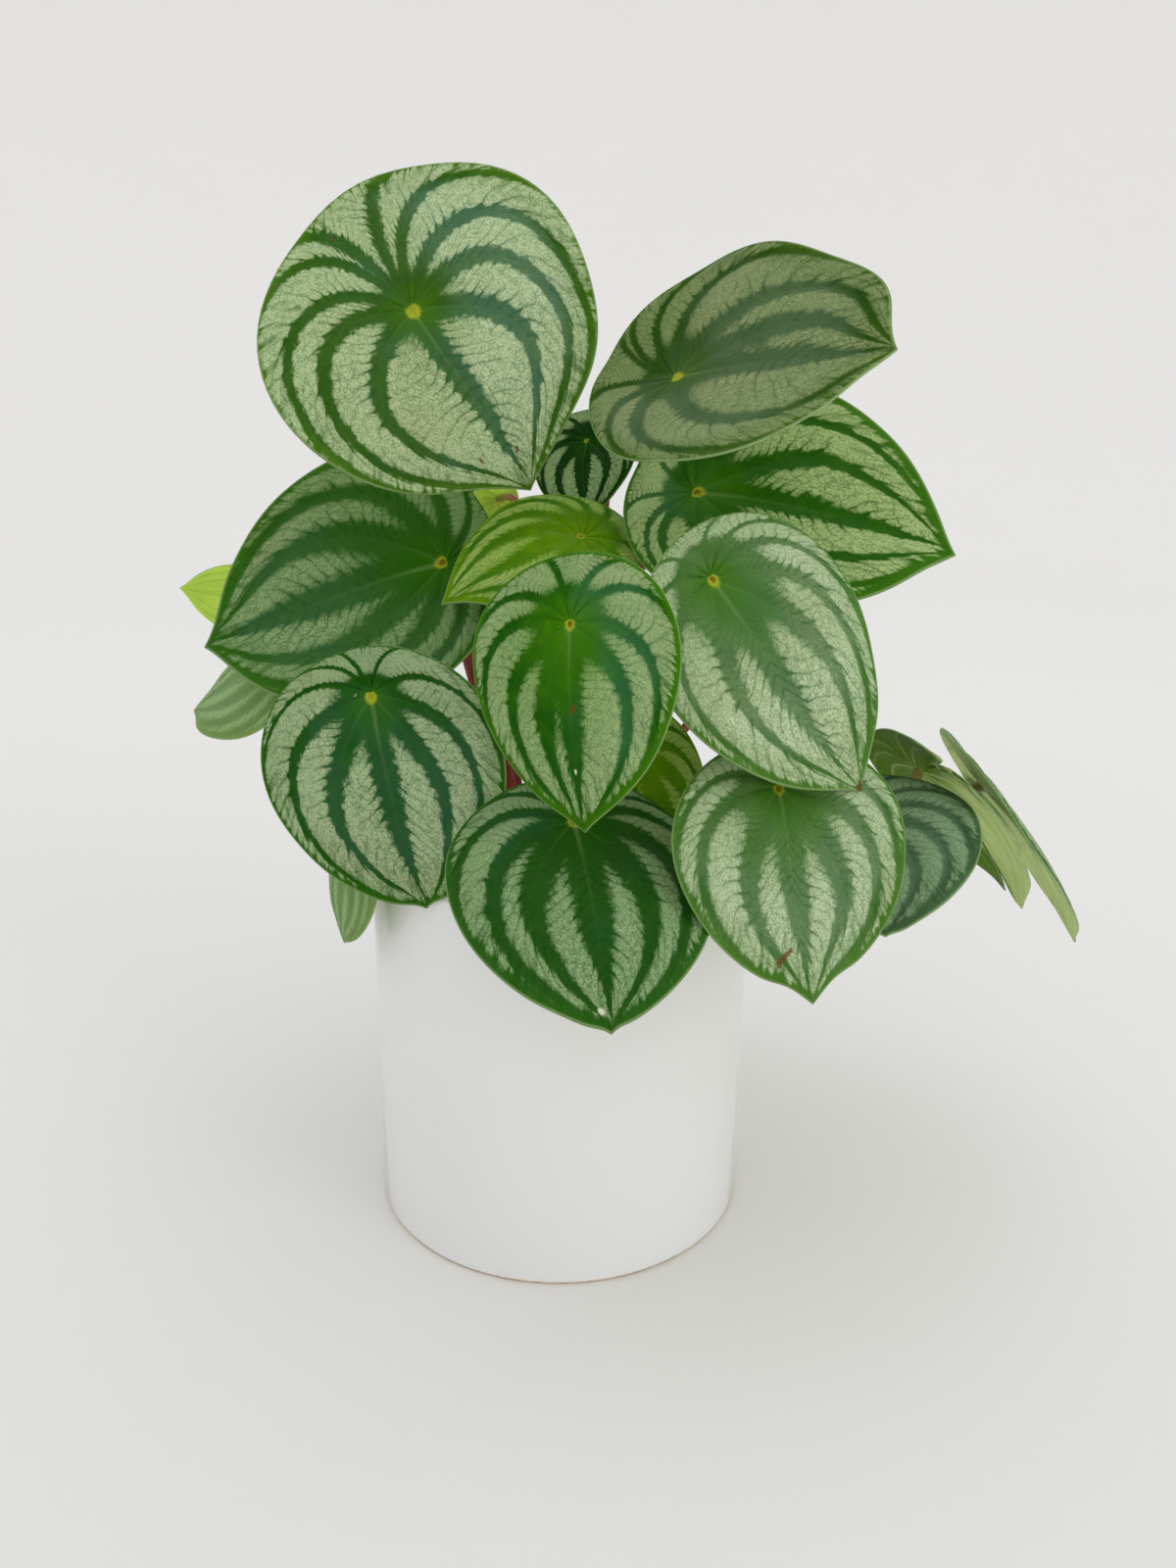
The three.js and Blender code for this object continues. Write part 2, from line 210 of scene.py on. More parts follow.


# Every leaf, as in the part's source.
# hub    x, y, z of the place where the stalk meets the blade
# size   length, width, and the share of the length that lies behind the hub
# aim    compass way that the upper face looks (0 front, 90 right), how far the face looks up, and how
#        far the tip swings from straight downhill
# curl   dome, droop of the tip, droop of the back, raised sides, twist
# foot   x, y of the stalk in the soil
# tone   its colours, in TONES
# bulge  places where the margin stands out: degrees from the tip, millimetres, degrees wide
# route  two guide points for a stalk that has to find its way between other leaves
LEAVES = (
    row((-34, -38, 250), (76, 79, 0.35), (18, 4, 36), (0, 8, 8, 6, -4), (-8, 6), "bright",
        route=((-26, 28, 160), (-34, 46, 270)), bulge=((-55, 2.8, 22), (-172, 2.2, 18), (22, -1.8, 20))),
    row((28, -19, 237), (73, 70, 0.23), (-36, 44, 94), (1, -2, -6, 7, -5), (5, 6), "bronze_sheen",
        route=((20, 34, 180), (40, 46, 264)), bulge=((-30, 4.5, 20), (150, 0.8, 25))),
    row((35, -4, 209), (86, 76, 0.2), (-10, 46, 78), (2, 6, -3, 6, -3), (11, -3), "warm",
        route=((14, -6, 150), (37, 8, 186))),
    row((6, 18, 222), (36, 31, 0.27), (-25, 30, 12), (2, 0, 0, 1, 0), (1, 3), "crisp"),
    row((-32, -4, 190), (87, 75, 0.18), (-11, 33, -68), (1, 5, 0, 6, 4), (-10, -6), "deep",
        route=((-22, -6, 180), (-18, 16, 107)), bulge=((-80, -2.5, 25),)),
    row((5, -16, 198), (53, 43, 0.28), (9, 57, -73), (3, 12, 0, 0, -2), (2, -6), "young"),
    row((3.4, -78, 185.2), (60, 49, 0.25), (-25, 9, 8), (3, 2, 4, 0, -2), (0, -12), "fresh"),
    row((34, -62, 193), (72, 57, 0.16), (25, 22, 32), (2, 2, 0, 2, 0), (8, -9), "silvery"),
    row((-45, -48, 163), (71, 62, 0.16), (-12, 0, 11), (3, 5, 1, 4, 5), (-12, -13), "grown",
        route=((-16, -20, 150), (-44, -22, 148)), bulge=((0, -2.4, 12),)),
    row((4, -63, 136), (69, 62, 0.18), (14, 53, -2), (5, -2, -3, 0, -4), (1, -18), "shaded",
        bulge=((0, -1.9, 9),)),
    row((51, -66, 146), (62, 58, 0.19), (18, 25, 3), (2, 4, 1, 2, -2), (13, -16), "silvery",
        bulge=((-15, -1.1, 11), (15, -1.1, 11))),
    row((80, -22, 124), (65, 62, 0.28), (-20, 64, 18), (1, -3, 1, 1, 0), (19, -8), "bluish_sheen",
        bulge=((0, -1.6, 8),)),
    row((102, -2, 133), (68, 58, 0.24), (111, 39, -18), (4, 2, 0, 0, -2), (20, -2), "warm"),
    row((-95, 49, 169.3), (37, 29, 0.26), (180, 25, 108), (2, 2, 0, 0, 0), (-15, 5), "young",
        route=((-28, 24, 152), (-86, 30, 146))),
    row((-76.5, 11, 161), (62, 54, 0.25), (-55, 48, -51), (3, 1, 0, 0, 0), (-17, -1), "soft"),
    row((-54, -26, 117.5), (44, 36, 0.25), (-58, 8, -14), (2, 2, 0, 0, 0), (-17, -8), "soft"),
    row((18, -43, 149), (46, 30, 0.25), (15, 25, 20), (2, 3, 1, 1, 0), (7, -13), "young"),
    row((-19, 20, 206), (21, 16, 0.25), (-150, 20, 20), (1, 1, 0, 0, 0), (-3, 5), "young"),
    row((126, 13, 124), (82, 63, 0.25), (89, 36, 2), (3, 2, 0, 0, -1), (20, 5), "grown",
        route=((24, 14, 130), (104, 52, 112))),
    row((-47, 54, 214), (56, 50, 0.24), (-165, 30, 10), (3, 5, 1, 1, 0), (-14, 11), "bright",
        route=((-16, 30, 140), (-42, 44, 190))),
    row((52, 46, 204), (74, 68, 0.24), (140, 28, -10), (3, 5, 1, 1, 0), (8, 12), "silvery",
        route=((12, 24, 150), (40, 34, 188))),
    row((-4, 58, 176), (62, 56, 0.22), (180, 30, 8), (3, 5, 1, 1, 0), (3, 16), "grown"),
    row((-62, 53, 140), (66, 58, 0.22), (-130, 32, -10), (3, 5, 1, 1, 0), (-20, 13), "deep"),
    row((62, 48, 156), (66, 60, 0.22), (135, 32, 12), (3, 5, 1, 1, 0), (15, 10), "grown"),
    row((-32, 28, 256), (56, 52, 0.25), (-170, 45, -12), (3, 5, 1, 1, 0), (-2, 11), "fresh",
        route=((-3, 34, 150), (-23, 29, 214))),
    row((54, 30, 248), (54, 48, 0.24), (110, 30, 5), (3, 5, 1, 1, 0), (13, 4), "warm",
        route=((15, 5, 165), (41, 32, 226))),
    row((22, 82, 114), (58, 50, 0.22), (172, 20, -6), (3, 5, 1, 1, 0), (6, 21), "silvery"),
    row((-44, 66, 122), (58, 50, 0.22), (-150, 25, 8), (3, 5, 1, 1, 0), (-9, 17), "soft"),
)

# The stripes of each leaf. What a row leaves out is as in COMMON_STRIPES.
# veins  where the main veins leave the hub, in degrees, 0 to the tip and + to its right
# bow    how strongly they bend toward the tip
# delay  how far out most of that bend is
# band   half width of the dark bands
# bare   how much of the hub's surroundings is bare of silver
# warm   the way to the warmer side (right, tipward), and how warm it is in all; toward the other side the
#        bands take a blue-green that is partly a painted sheen
# end    how far out the silver goes, as a share of the reach
# edge   how softly the silver begins
# veil   how much silver colour is laid over the bands as a painted sheen
# dot    how strong the dot in the hub is
STRIPES = {
    1: dict(veins=(-168, -147, -117, -87, -50, 0, 62, 100, 126, 157, 170), bow=1.2, delay=2.4,
            band=0.06, bare=0.6, warm=(0.8, -0.3, 0.65), end=0.985, veil=0.2, dot=0.15),
    2: dict(veins=(-163, -151, -122, -88, -45, -20, 0, 50, 90, 118, 150), band=0.055, bare=1.0,
            warm=(-0.9, -1.5, 0.35), end=0.985, edge=0.05, veil=0.2, dot=0.15),
    3: dict(veins=(-150, -120, -90, -58, -28, 0, 28, 60, 93, 112, 149), band=0.06, bare=1.1,
            warm=(-0.2, 0.9, 0.7)),
    4: dict(veins=(-150, -110, -75, -35, 0, 35, 75, 110, 150), band=0.09, bare=1.3, warm=(0, 0, 1)),
    5: dict(veins=(-150, -120, -90, -60, -30, 0, 30, 60, 95, 135, 165), band=0.065, bare=0.72,
            warm=(0.4, -0.3, 0.8), end=0.965, edge=0.06, veil=0.25),
    6: dict(veins=(-150, -112, -75, -40, -10, 20, 50, 85, 118, 150), band=0.07, bare=1.5,
            warm=(0, -0.5, 0.9), edge=0.06, veil=0.05),
    7: dict(veins=(-152, -118, -72, -40, 0, 17, 45, 85, 118, 163), band=0.065, bare=1.2,
            warm=(1.1, 0.1, 0.75), edge=0.04, veil=0.05),
    8: dict(veins=(-150, -113, -84, -53, -24, 5, 31, 72, 110, 150), band=0.05, bare=1.55,
            warm=(0.2, -0.9, 0.85), end=0.97, edge=0.04, veil=0.5),
    9: dict(veins=(-150, -96, -61, -30, 0, 30, 62, 102, 136, 160), band=0.06, warm=(0.3, -0.8, 0.85),
            end=0.965, veil=0.05, dot=0.25),
    10: dict(veins=(-150, -120, -92, -58, -28, 0, 29, 55, 93, 130, 160), band=0.075, bare=0.78,
             warm=(0, 0.3, 0.8), edge=0.04, veil=0.18),
    11: dict(veins=(-150, -120, -86, -55, -24, 4, 32, 73, 104, 140), band=0.06, bare=1.35,
             warm=(0.4, -0.5, 0.6), end=0.955, edge=0.05, veil=0.35),
    12: dict(band=0.045, warm=(0, 0, 0.35), edge=0.06, veil=0.4),
    15: dict(edge=0.08, veil=0.3),
    16: dict(edge=0.08, veil=0.3),
    17: dict(veins=(-145, -100, -62, -28, 0, 28, 62, 100, 145), band=0.09),
    18: dict(veins=(-145, -100, -55, 0, 55, 100, 145), band=0.1),
}
COMMON_STRIPES = dict(veins=(-150, -120, -90, -60, -30, 0, 30, 60, 93, 130, 160), bow=0.72, delay=3.0,
                      band=0.07, bare=1.0, warm=(0, -0.4, 0.7), end=0.945, edge=0.02, veil=0.1, dot=0.85)

# Colours of a blade's upper face: its bands; their blue-green parts, partly the blade's own colour and partly
# a painted sheen; the silver; the glow round the hub, partly the blade's own paler green and partly painted
# light shining through the blade; and how far that glow reaches
TONES = {
    "grown": ("#124c00", "#285634", "#b0c496", "#3d7608", 0.25),
    "deep": ("#1f5400", "#2c5830", "#8ca773", "#3c7410", 0.3),
    "shaded": ("#124800", "#245430", "#98b280", "#30680c", 0.3),
    "bright": ("#245400", "#386546", "#c2d4a4", "#548200", 0.25),
    # greyish colours: partly the blade's own and partly a painted sheen
    "bronze_sheen": ("#1c4600", "#3e5c38", "#8c9c6a", "#4c6e10", 0.25),
    "warm": ("#1c5600", "#326838", "#b8cd8c", "#4f8408", 0.3),
    "crisp": ("#023400", "#0c3a10", "#a8c28c", "#2c5a08", 0.3),
    "young": ("#306800", "#407400", "#aec474", "#84ac00", 0.8),
    "fresh": ("#145200", "#2c6234", "#a8bd86", "#549000", 0.55),
    "silvery": ("#326218", "#3c6638", "#c0d1a7", "#4e8010", 0.4),
    # blue-grey colours: partly the blade's own and partly a painted sheen
    "bluish_sheen": ("#365634", "#3a5c44", "#91ae84", "#4a6c40", 0.3),
    "soft": ("#6a8a4a", "#668652", "#9cba7e", "#7c9e4c", 0.3),
}

# Places of an underside painted olive as shade, where it turns away from the light: across and toward the
# tip, in half widths and lengths, and their radius
SHADE_PLACES = {
    13: ((0.1, -0.75, 1.0), (-0.6, -0.4, 0.8), (-0.35, 0.9, 0.3)),
    19: ((-0.78, 0.6, 0.4),),
}

# Brown scars: leaf number, then for each the place on the blade (right, towards the tip, as shares of the
# reach), half length, how much narrower than long, and the turn of its long side from the leaf's length
SCARS = {
    1: ((0.185, -0.77, 0.05, 3, 10), (-0.045, 0.815, 0.026, 1.6, 20), (0.15, 0.815, 0.03, 1.5, 0)),
    7: ((-0.015, 0.415, 0.026, 1.1, 0),),
    8: ((0.0, 0.985, 0.03, 1, 0),),
    11: ((0.13, 0.845, 0.14, 8, 40), (0.17, 0.875, 0.035, 1.5, 40)),
}


def paint(code):
    """Linear colour with alpha from a web colour."""
    parts = [int(code[i:i + 2], 16) / 255 for i in (1, 3, 5)]
    linear = [c / 12.92 if c <= 0.04045 else ((c + 0.055) / 1.055) ** 2.4 for c in parts]
    return (*linear, 1.0)


# Settings that a user can change

def colour_setting(name, description, code):
    return bpy.props.FloatVectorProperty(name=name, description=description, subtype="COLOR", size=4, min=0,
                                         max=1, default=paint(code))


def length_setting(name, description, default):
    return bpy.props.FloatProperty(name=name, description=description, unit="LENGTH", default=default)


class PotSettings(bpy.types.PropertyGroup):
    diameter: length_setting("Diameter", "Outer width of the pot",
                             float(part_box("pot")[1][0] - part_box("pot")[0][0]))
    height: length_setting("Height", "Height of the pot", float(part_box("pot")[1][2]))
    wall: length_setting("Wall", "Thickness of the pot's wall", 4.5 * MM)
    glaze: colour_setting("Glaze", "Colour of the glaze", "#ebebeb")
    clay: colour_setting("Bare Clay", "Colour of the unglazed foot", "#e6d2b0")


class SoilSettings(bpy.types.PropertyGroup):
    crumbs: bpy.props.IntProperty(
        name="Crumbs", description="How many loose crumbs lie on the soil", default=420, min=0)
    crumb_size: length_setting("Crumb Size", "Mean width of a crumb", 2.4 * MM)
    relief: length_setting("Relief", "Height of the soil's unevenness", 1.6 * MM)
    dark: colour_setting("Dark", "Colour of wet soil", "#2a1f18")
    light: colour_setting("Light", "Colour of dry fibres", "#6b5240")


class StalkSettings(bpy.types.PropertyGroup):
    flare: bpy.props.FloatProperty(
        name="Flare", description="How much thicker a stalk is at its root", default=0.25, min=0)
    red: colour_setting("Red", "Main colour of the stalks", "#a03238")
    dark_red: colour_setting("Dark Red", "Colour of the streaks on the stalks", "#741c28")
    green: colour_setting("Green", "Colour just under the blade", "#9a9a4e")


class BladeSettings(bpy.types.PropertyGroup):
    thickness: length_setting("Thickness", "Thickness of a blade", 1.0 * MM)
    pucker: length_setting("Pucker", "How far the blade bulges between its main veins", 0.7 * MM)
    wave: length_setting("Wave", "Height of the margin's waves", 0.5 * MM)
    rim: colour_setting("Rim", "Colour of the thin edge", "#98b278")
    vein: colour_setting("Vein", "Colour of the fine veins round the hub", "#9fbf7a")
    hub: colour_setting("Hub", "Colour of the ring where the stalk joins", "#a9b42c")
    dot: colour_setting("Dot", "Colour of the dot in the hub", "#704a10")
    scar: colour_setting("Scar", "Colour of scars", "#6a4520")
    underside: colour_setting("Underside", "Colour of the lower face", "#b6cc80")
    young_underside: colour_setting("Young Underside", "Colour of a young blade's lower face", "#cdf060")


class StageSettings(bpy.types.PropertyGroup):
    floor: colour_setting("Floor", "Colour of the floor", "#edebe9")
    reach: length_setting("Reach", "Radius of the flat floor", 1.5)
    sky: bpy.props.FloatProperty(
        name="Sky", description="Strength of the light from all round", default=1.0, min=0)
    key: bpy.props.FloatProperty(
        name="Key", description="Power of the large lamp at the right", default=7.0, min=0)
    lens: bpy.props.FloatProperty(
        name="Lens", description="Focal length of the camera on a 36 mm frame", unit="CAMERA", default=27.0)


def settings(name):
    return getattr(bpy.context.scene, "peperomia_" + name)


# Mesh helpers

def edit_mode():
    bpy.ops.object.mode_set(mode="EDIT")


def object_mode():
    bpy.ops.object.mode_set(mode="OBJECT")


def deselect_all():
    if bpy.context.object and bpy.context.object.mode != "OBJECT":
        object_mode()
    bpy.ops.object.select_all(action="DESELECT")


def named(name):
    """The active object with its new name."""
    piece = bpy.context.object
    piece.name = piece.data.name = name
    return piece


def activate(piece):
    deselect_all()
    piece.select_set(True)
    bpy.context.view_layer.objects.active = piece


def choose(piece, kind, wanted):
    """In edit mode, selects the verts, edges or faces that the test wants, and nothing else."""
    bpy.ops.mesh.select_all(action="DESELECT")
    bpy.ops.mesh.select_mode(type={"verts": "VERT", "edges": "EDGE", "faces": "FACE"}[kind])
    mesh = bmesh.from_edit_mesh(piece.data)
    for element in getattr(mesh, kind):
        if wanted(element):
            element.select_set(True)
    mesh.select_flush_mode()
    bmesh.update_edit_mesh(piece.data)


def edges_at(height, radius, slack=0.02 * MM):
    """Test for the edges of a ring round the Z axis."""
    def wanted(edge):
        return all(abs(v.co.z - height) < slack and abs(math.hypot(v.co.x, v.co.y) - radius) < slack
                   for v in edge.verts)
    return wanted


def finish_shell():
    """Turns the faces of the mesh in edit mode outward and leaves edit mode."""
    bpy.ops.mesh.select_all(action="SELECT")
    bpy.ops.mesh.normals_make_consistent(inside=False)
    object_mode()


def coordinates(mesh):
    points = np.empty(len(mesh.vertices) * 3)
    mesh.vertices.foreach_get("co", points)
    return points.reshape(-1, 3)


def set_coordinates(mesh, points):
    mesh.vertices.foreach_set("co", np.asarray(points, dtype=float).ravel())
    mesh.update()


def set_uv(mesh, name, u, v):
    """UV map from one place per vertex."""
    layer = mesh.uv_layers.new(name=name)
    corners = np.empty(len(mesh.loops), dtype=int)
    mesh.loops.foreach_get("vertex_index", corners)
    layer.data.foreach_set("uv", np.stack([u[corners], v[corners]], axis=1).ravel())


def copy_of(blank, name):
    """Copy of a blank with a mesh of its own."""
    piece = blank.copy()
    piece.data = blank.data.copy()
    piece.name = piece.data.name = name
    bpy.context.collection.objects.link(piece)
    return piece


def discard(piece):
    mesh = piece.data
    bpy.data.objects.remove(piece)
    bpy.data.meshes.remove(mesh)


def hand_in(piece, node):
    """The piece stands for its node and rides on the plant."""
    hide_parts(node)
    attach(piece, "root")


# Shader helpers

def arithmetic(operation, swapped=False):
    """Method behind an operator, which adds the math node for it."""
    def method(self, other):
        values = (other, self) if swapped else (self, other)
        return self.wiring.math(operation, *values)
    return method


class Value:
    """An output in a formula: arithmetic with it adds math nodes."""

    def __init__(self, wiring, socket):
        self.wiring = wiring
        self.socket = socket

    __add__ = arithmetic("ADD")
    __sub__ = arithmetic("SUBTRACT")
    __rsub__ = arithmetic("SUBTRACT", swapped=True)
    __mul__ = arithmetic("MULTIPLY")
    __truediv__ = arithmetic("DIVIDE")
    __pow__ = arithmetic("POWER")


class Wiring:
    """Adds nodes to one tree and joins them."""

    def __init__(self, tree):
        self.tree = tree

    def add(self, kind, **values):
        node = self.tree.nodes.new(kind)
        for key, value in values.items():
            setattr(node, key, value)
        return node

    def feed(self, node, given, output=0):
        """Sets or joins a node's inputs, by number or name. Returns one of its outputs."""
        for key, value in given.items():
            if isinstance(value, Value):
                self.tree.links.new(value.socket, node.inputs[key])
            else:
                node.inputs[key].default_value = value
        return Value(self, node.outputs[output]) if node.outputs else None

    def math(self, operation, *values):
        return self.feed(self.add("ShaderNodeMath", operation=operation), dict(enumerate(values)))

    def vector(self, operation, *values):
        places = (0, 3) if operation == "SCALE" else (0, 1)
        output = "Value" if operation in ("LENGTH", "DISTANCE") else "Vector"
        node = self.add("ShaderNodeVectorMath", operation=operation)
        return self.feed(node, dict(zip(places, values)), output)

    def parts(self, vector):
        """The X, Y and Z of a vector."""
        node = self.add("ShaderNodeSeparateXYZ")
        self.feed(node, {0: vector})
        return [Value(self, output) for output in node.outputs]

    def object_place(self):
        return self.feed(self.add("ShaderNodeTexCoord"), {}, "Object")

    def uv_place(self, name):
        return self.feed(self.add("ShaderNodeUVMap", uv_map=name), {})

    def mix(self, share, a, b):
        return self.feed(self.add("ShaderNodeMix", data_type="RGBA"), {0: share, 6: a, 7: b}, 2)

    def larger(self, a, b):
        return self.math("MAXIMUM", a, b)

    def step(self, value, low, high):
        """0 at low, 1 at high, smooth between; low may be above high."""
        ends = (0, 1)
        if isinstance(high, (int, float)) and low > high:
            low, high, ends = high, low, (1, 0)
        node = self.add("ShaderNodeMapRange", interpolation_type="SMOOTHSTEP")
        return self.feed(node, dict(enumerate((value, low, high, *ends))))

    def ramp(self, value, stops):
        node = self.add("ShaderNodeValToRGB")
        elements = node.color_ramp.elements
        while len(elements) < len(stops):
            elements.new(0.5)
        for element, (place, level) in zip(elements, stops):
            element.position = place
            element.color = (level, level, level, 1)
        return self.feed(node, {0: value})

    def noise(self, place, scale, detail=2.0, seed=0.0, roughness=0.5, output="Fac"):
        given = {"Vector": place, "Scale": scale, "Detail": detail, "W": seed, "Roughness": roughness}
        return self.feed(self.add("ShaderNodeTexNoise", noise_dimensions="4D"), given, output)

    def patches(self, place, scale, detail, seed, low, high):
        """Noise made into soft-edged patches."""
        return self.step(self.noise(place, scale, detail, seed), low, high)

    def cells(self, place, scale, feature="F1"):
        node = self.add("ShaderNodeTexVoronoi", feature=feature)
        return self.feed(node, {"Vector": place, "Scale": scale}, "Distance")

    def bump(self, height, strength, depth):
        """Bumps of a depth in millimetres."""
        given = {"Strength": strength, "Distance": depth * MM, "Height": height}
        return self.feed(self.add("ShaderNodeBump"), given)

    def group(self, tree, **values):
        """Outputs, by name, of a group fed with the values."""
        node = self.add("ShaderNodeGroup", node_tree=tree)
        self.feed(node, {key.replace("_", " ").title(): value for key, value in values.items()})
        return {output.name: Value(self, output) for output in node.outputs}

    def give(self, **values):
        """Joins the values to the outputs of this group."""
        self.feed(self.add("NodeGroupOutput"), values)

    def surface(self, colour, roughness, normal=None, shine=0.5):
        """Makes the material a Principled surface."""
        given = {"Base Color": colour, "Roughness": roughness, "Specular IOR Level": shine}
        if normal:
            given["Normal"] = normal
        glossy = self.feed(self.add("ShaderNodeBsdfPrincipled"), given)
        self.feed(self.add("ShaderNodeOutputMaterial"), {"Surface": glossy})


def new_group(name, inputs, outputs):
    """Shader group whose sockets are named kind by kind. Returns its tree, its wiring and its inputs."""
    tree = bpy.data.node_groups.new(name, "ShaderNodeTree")
    for side, sockets in (("INPUT", inputs), ("OUTPUT", outputs)):
        for kind, labels in sockets.items():
            for label in labels.split(", "):
                tree.interface.new_socket(name=label, in_out=side, socket_type="NodeSocket" + kind)
    w = Wiring(tree)
    return tree, w, {socket.name: Value(w, socket) for socket in w.add("NodeGroupInput").outputs}


def new_material(name):
    material = bpy.data.materials.new(name)
    material.use_nodes = True
    material.node_tree.nodes.clear()
    return material, Wiring(material.node_tree)


def shaded(colour, factor):
    """The colour made darker or lighter."""
    return [min(1, channel * factor) for channel in colour[:3]] + [1]


# Finishes

def vein_group():
    """Where a point of a blade lies: its reach from the hub, the way round to it, the way in which its vein
    left the hub, and how much closer together the veins have come there."""
    tree, w, given = new_group("vein_map", {"Vector": "Plan", "Float": "Seed, Bow, Delay"},
                               {"Float": "Reach, Turn, Start, Squeeze", "Vector": "Place"})
    flat = w.vector("SCALE", w.vector("SUBTRACT", given["Plan"], (0.5, 0.5, 0)), 2.0)
    reach = w.vector("LENGTH", flat)
    drift = w.noise(flat, 2.4, 2.0, given["Seed"], output="Color")
    drift = w.vector("SCALE", w.vector("SUBTRACT", drift, (0.5, 0.5, 0.5)), reach * 0.12)
    right, tipward, _ = w.parts(w.vector("ADD", flat, drift))
    aside = w.math("ABSOLUTE", right)
    turn = w.math("ARCTAN2", aside, tipward)
    from_tip = w.math("ARCTAN2", aside, PAST_TIP - tipward)
    sweep = reach ** given["Delay"] * given["Bow"] * from_tip
    start = w.math("MINIMUM", turn + sweep, math.pi) * w.math("SIGN", right)
    slant = sweep * given["Delay"]
    w.give(Reach=reach, Turn=turn / math.pi, Start=start * (0.5 / math.pi) + 0.5,
           Squeeze=w.math("INVERSE_SQRT", slant * slant + 1.0), Place=flat)
    return tree


def stripe_stops(veins):
    """Stops of two ramps over all ways in which a vein may leave the hub: how far off the nearest main
    vein is, and the place across a field, 0 at its vein nearer the tip and 1 at the other."""
    around = [veins[-1] - 360, *veins, veins[0] + 360]
    nearest, across = [], []
    for this, after in zip(around, around[1:]):
        nearest += [(this, 0), ((this + after) / 2, (after - this) / 2 / WIDEST_FIELD)]
        ends = (0, 1) if abs(this) <= abs(after) else (1, 0)
        across += [(this + VEIN_GAP, ends[0]), (after - VEIN_GAP, ends[1])]
    ramps = []
    for stops in (nearest, across):
        ways, levels = zip(*stops)
        inside = [stop for stop in stops if -180 < stop[0] < 180]
        ends = [(way, float(np.interp(way, ways, levels))) for way in (-180, 180)]
        ramps.append([(way / 360 + 0.5, level) for way, level in (ends[0], *inside, ends[1])])
    return ramps


def side_veins(w, reach, across, place, seed, density):
    """Lines that leave the vein nearer the tip and run outward across the field: 1 on a line, 0 midway
    between two, and how strong the lines are at each place."""
    count = (reach - across * SIDE_VEIN_SLANT) * density + w.noise(place, 3.2, 3.0, seed) * 3.0
    line = 1.0 - w.math("PINGPONG", count, 0.5) * 2.0
    return line, w.patches(place, 7.0, 1.0, seed, 0.32, 0.52)


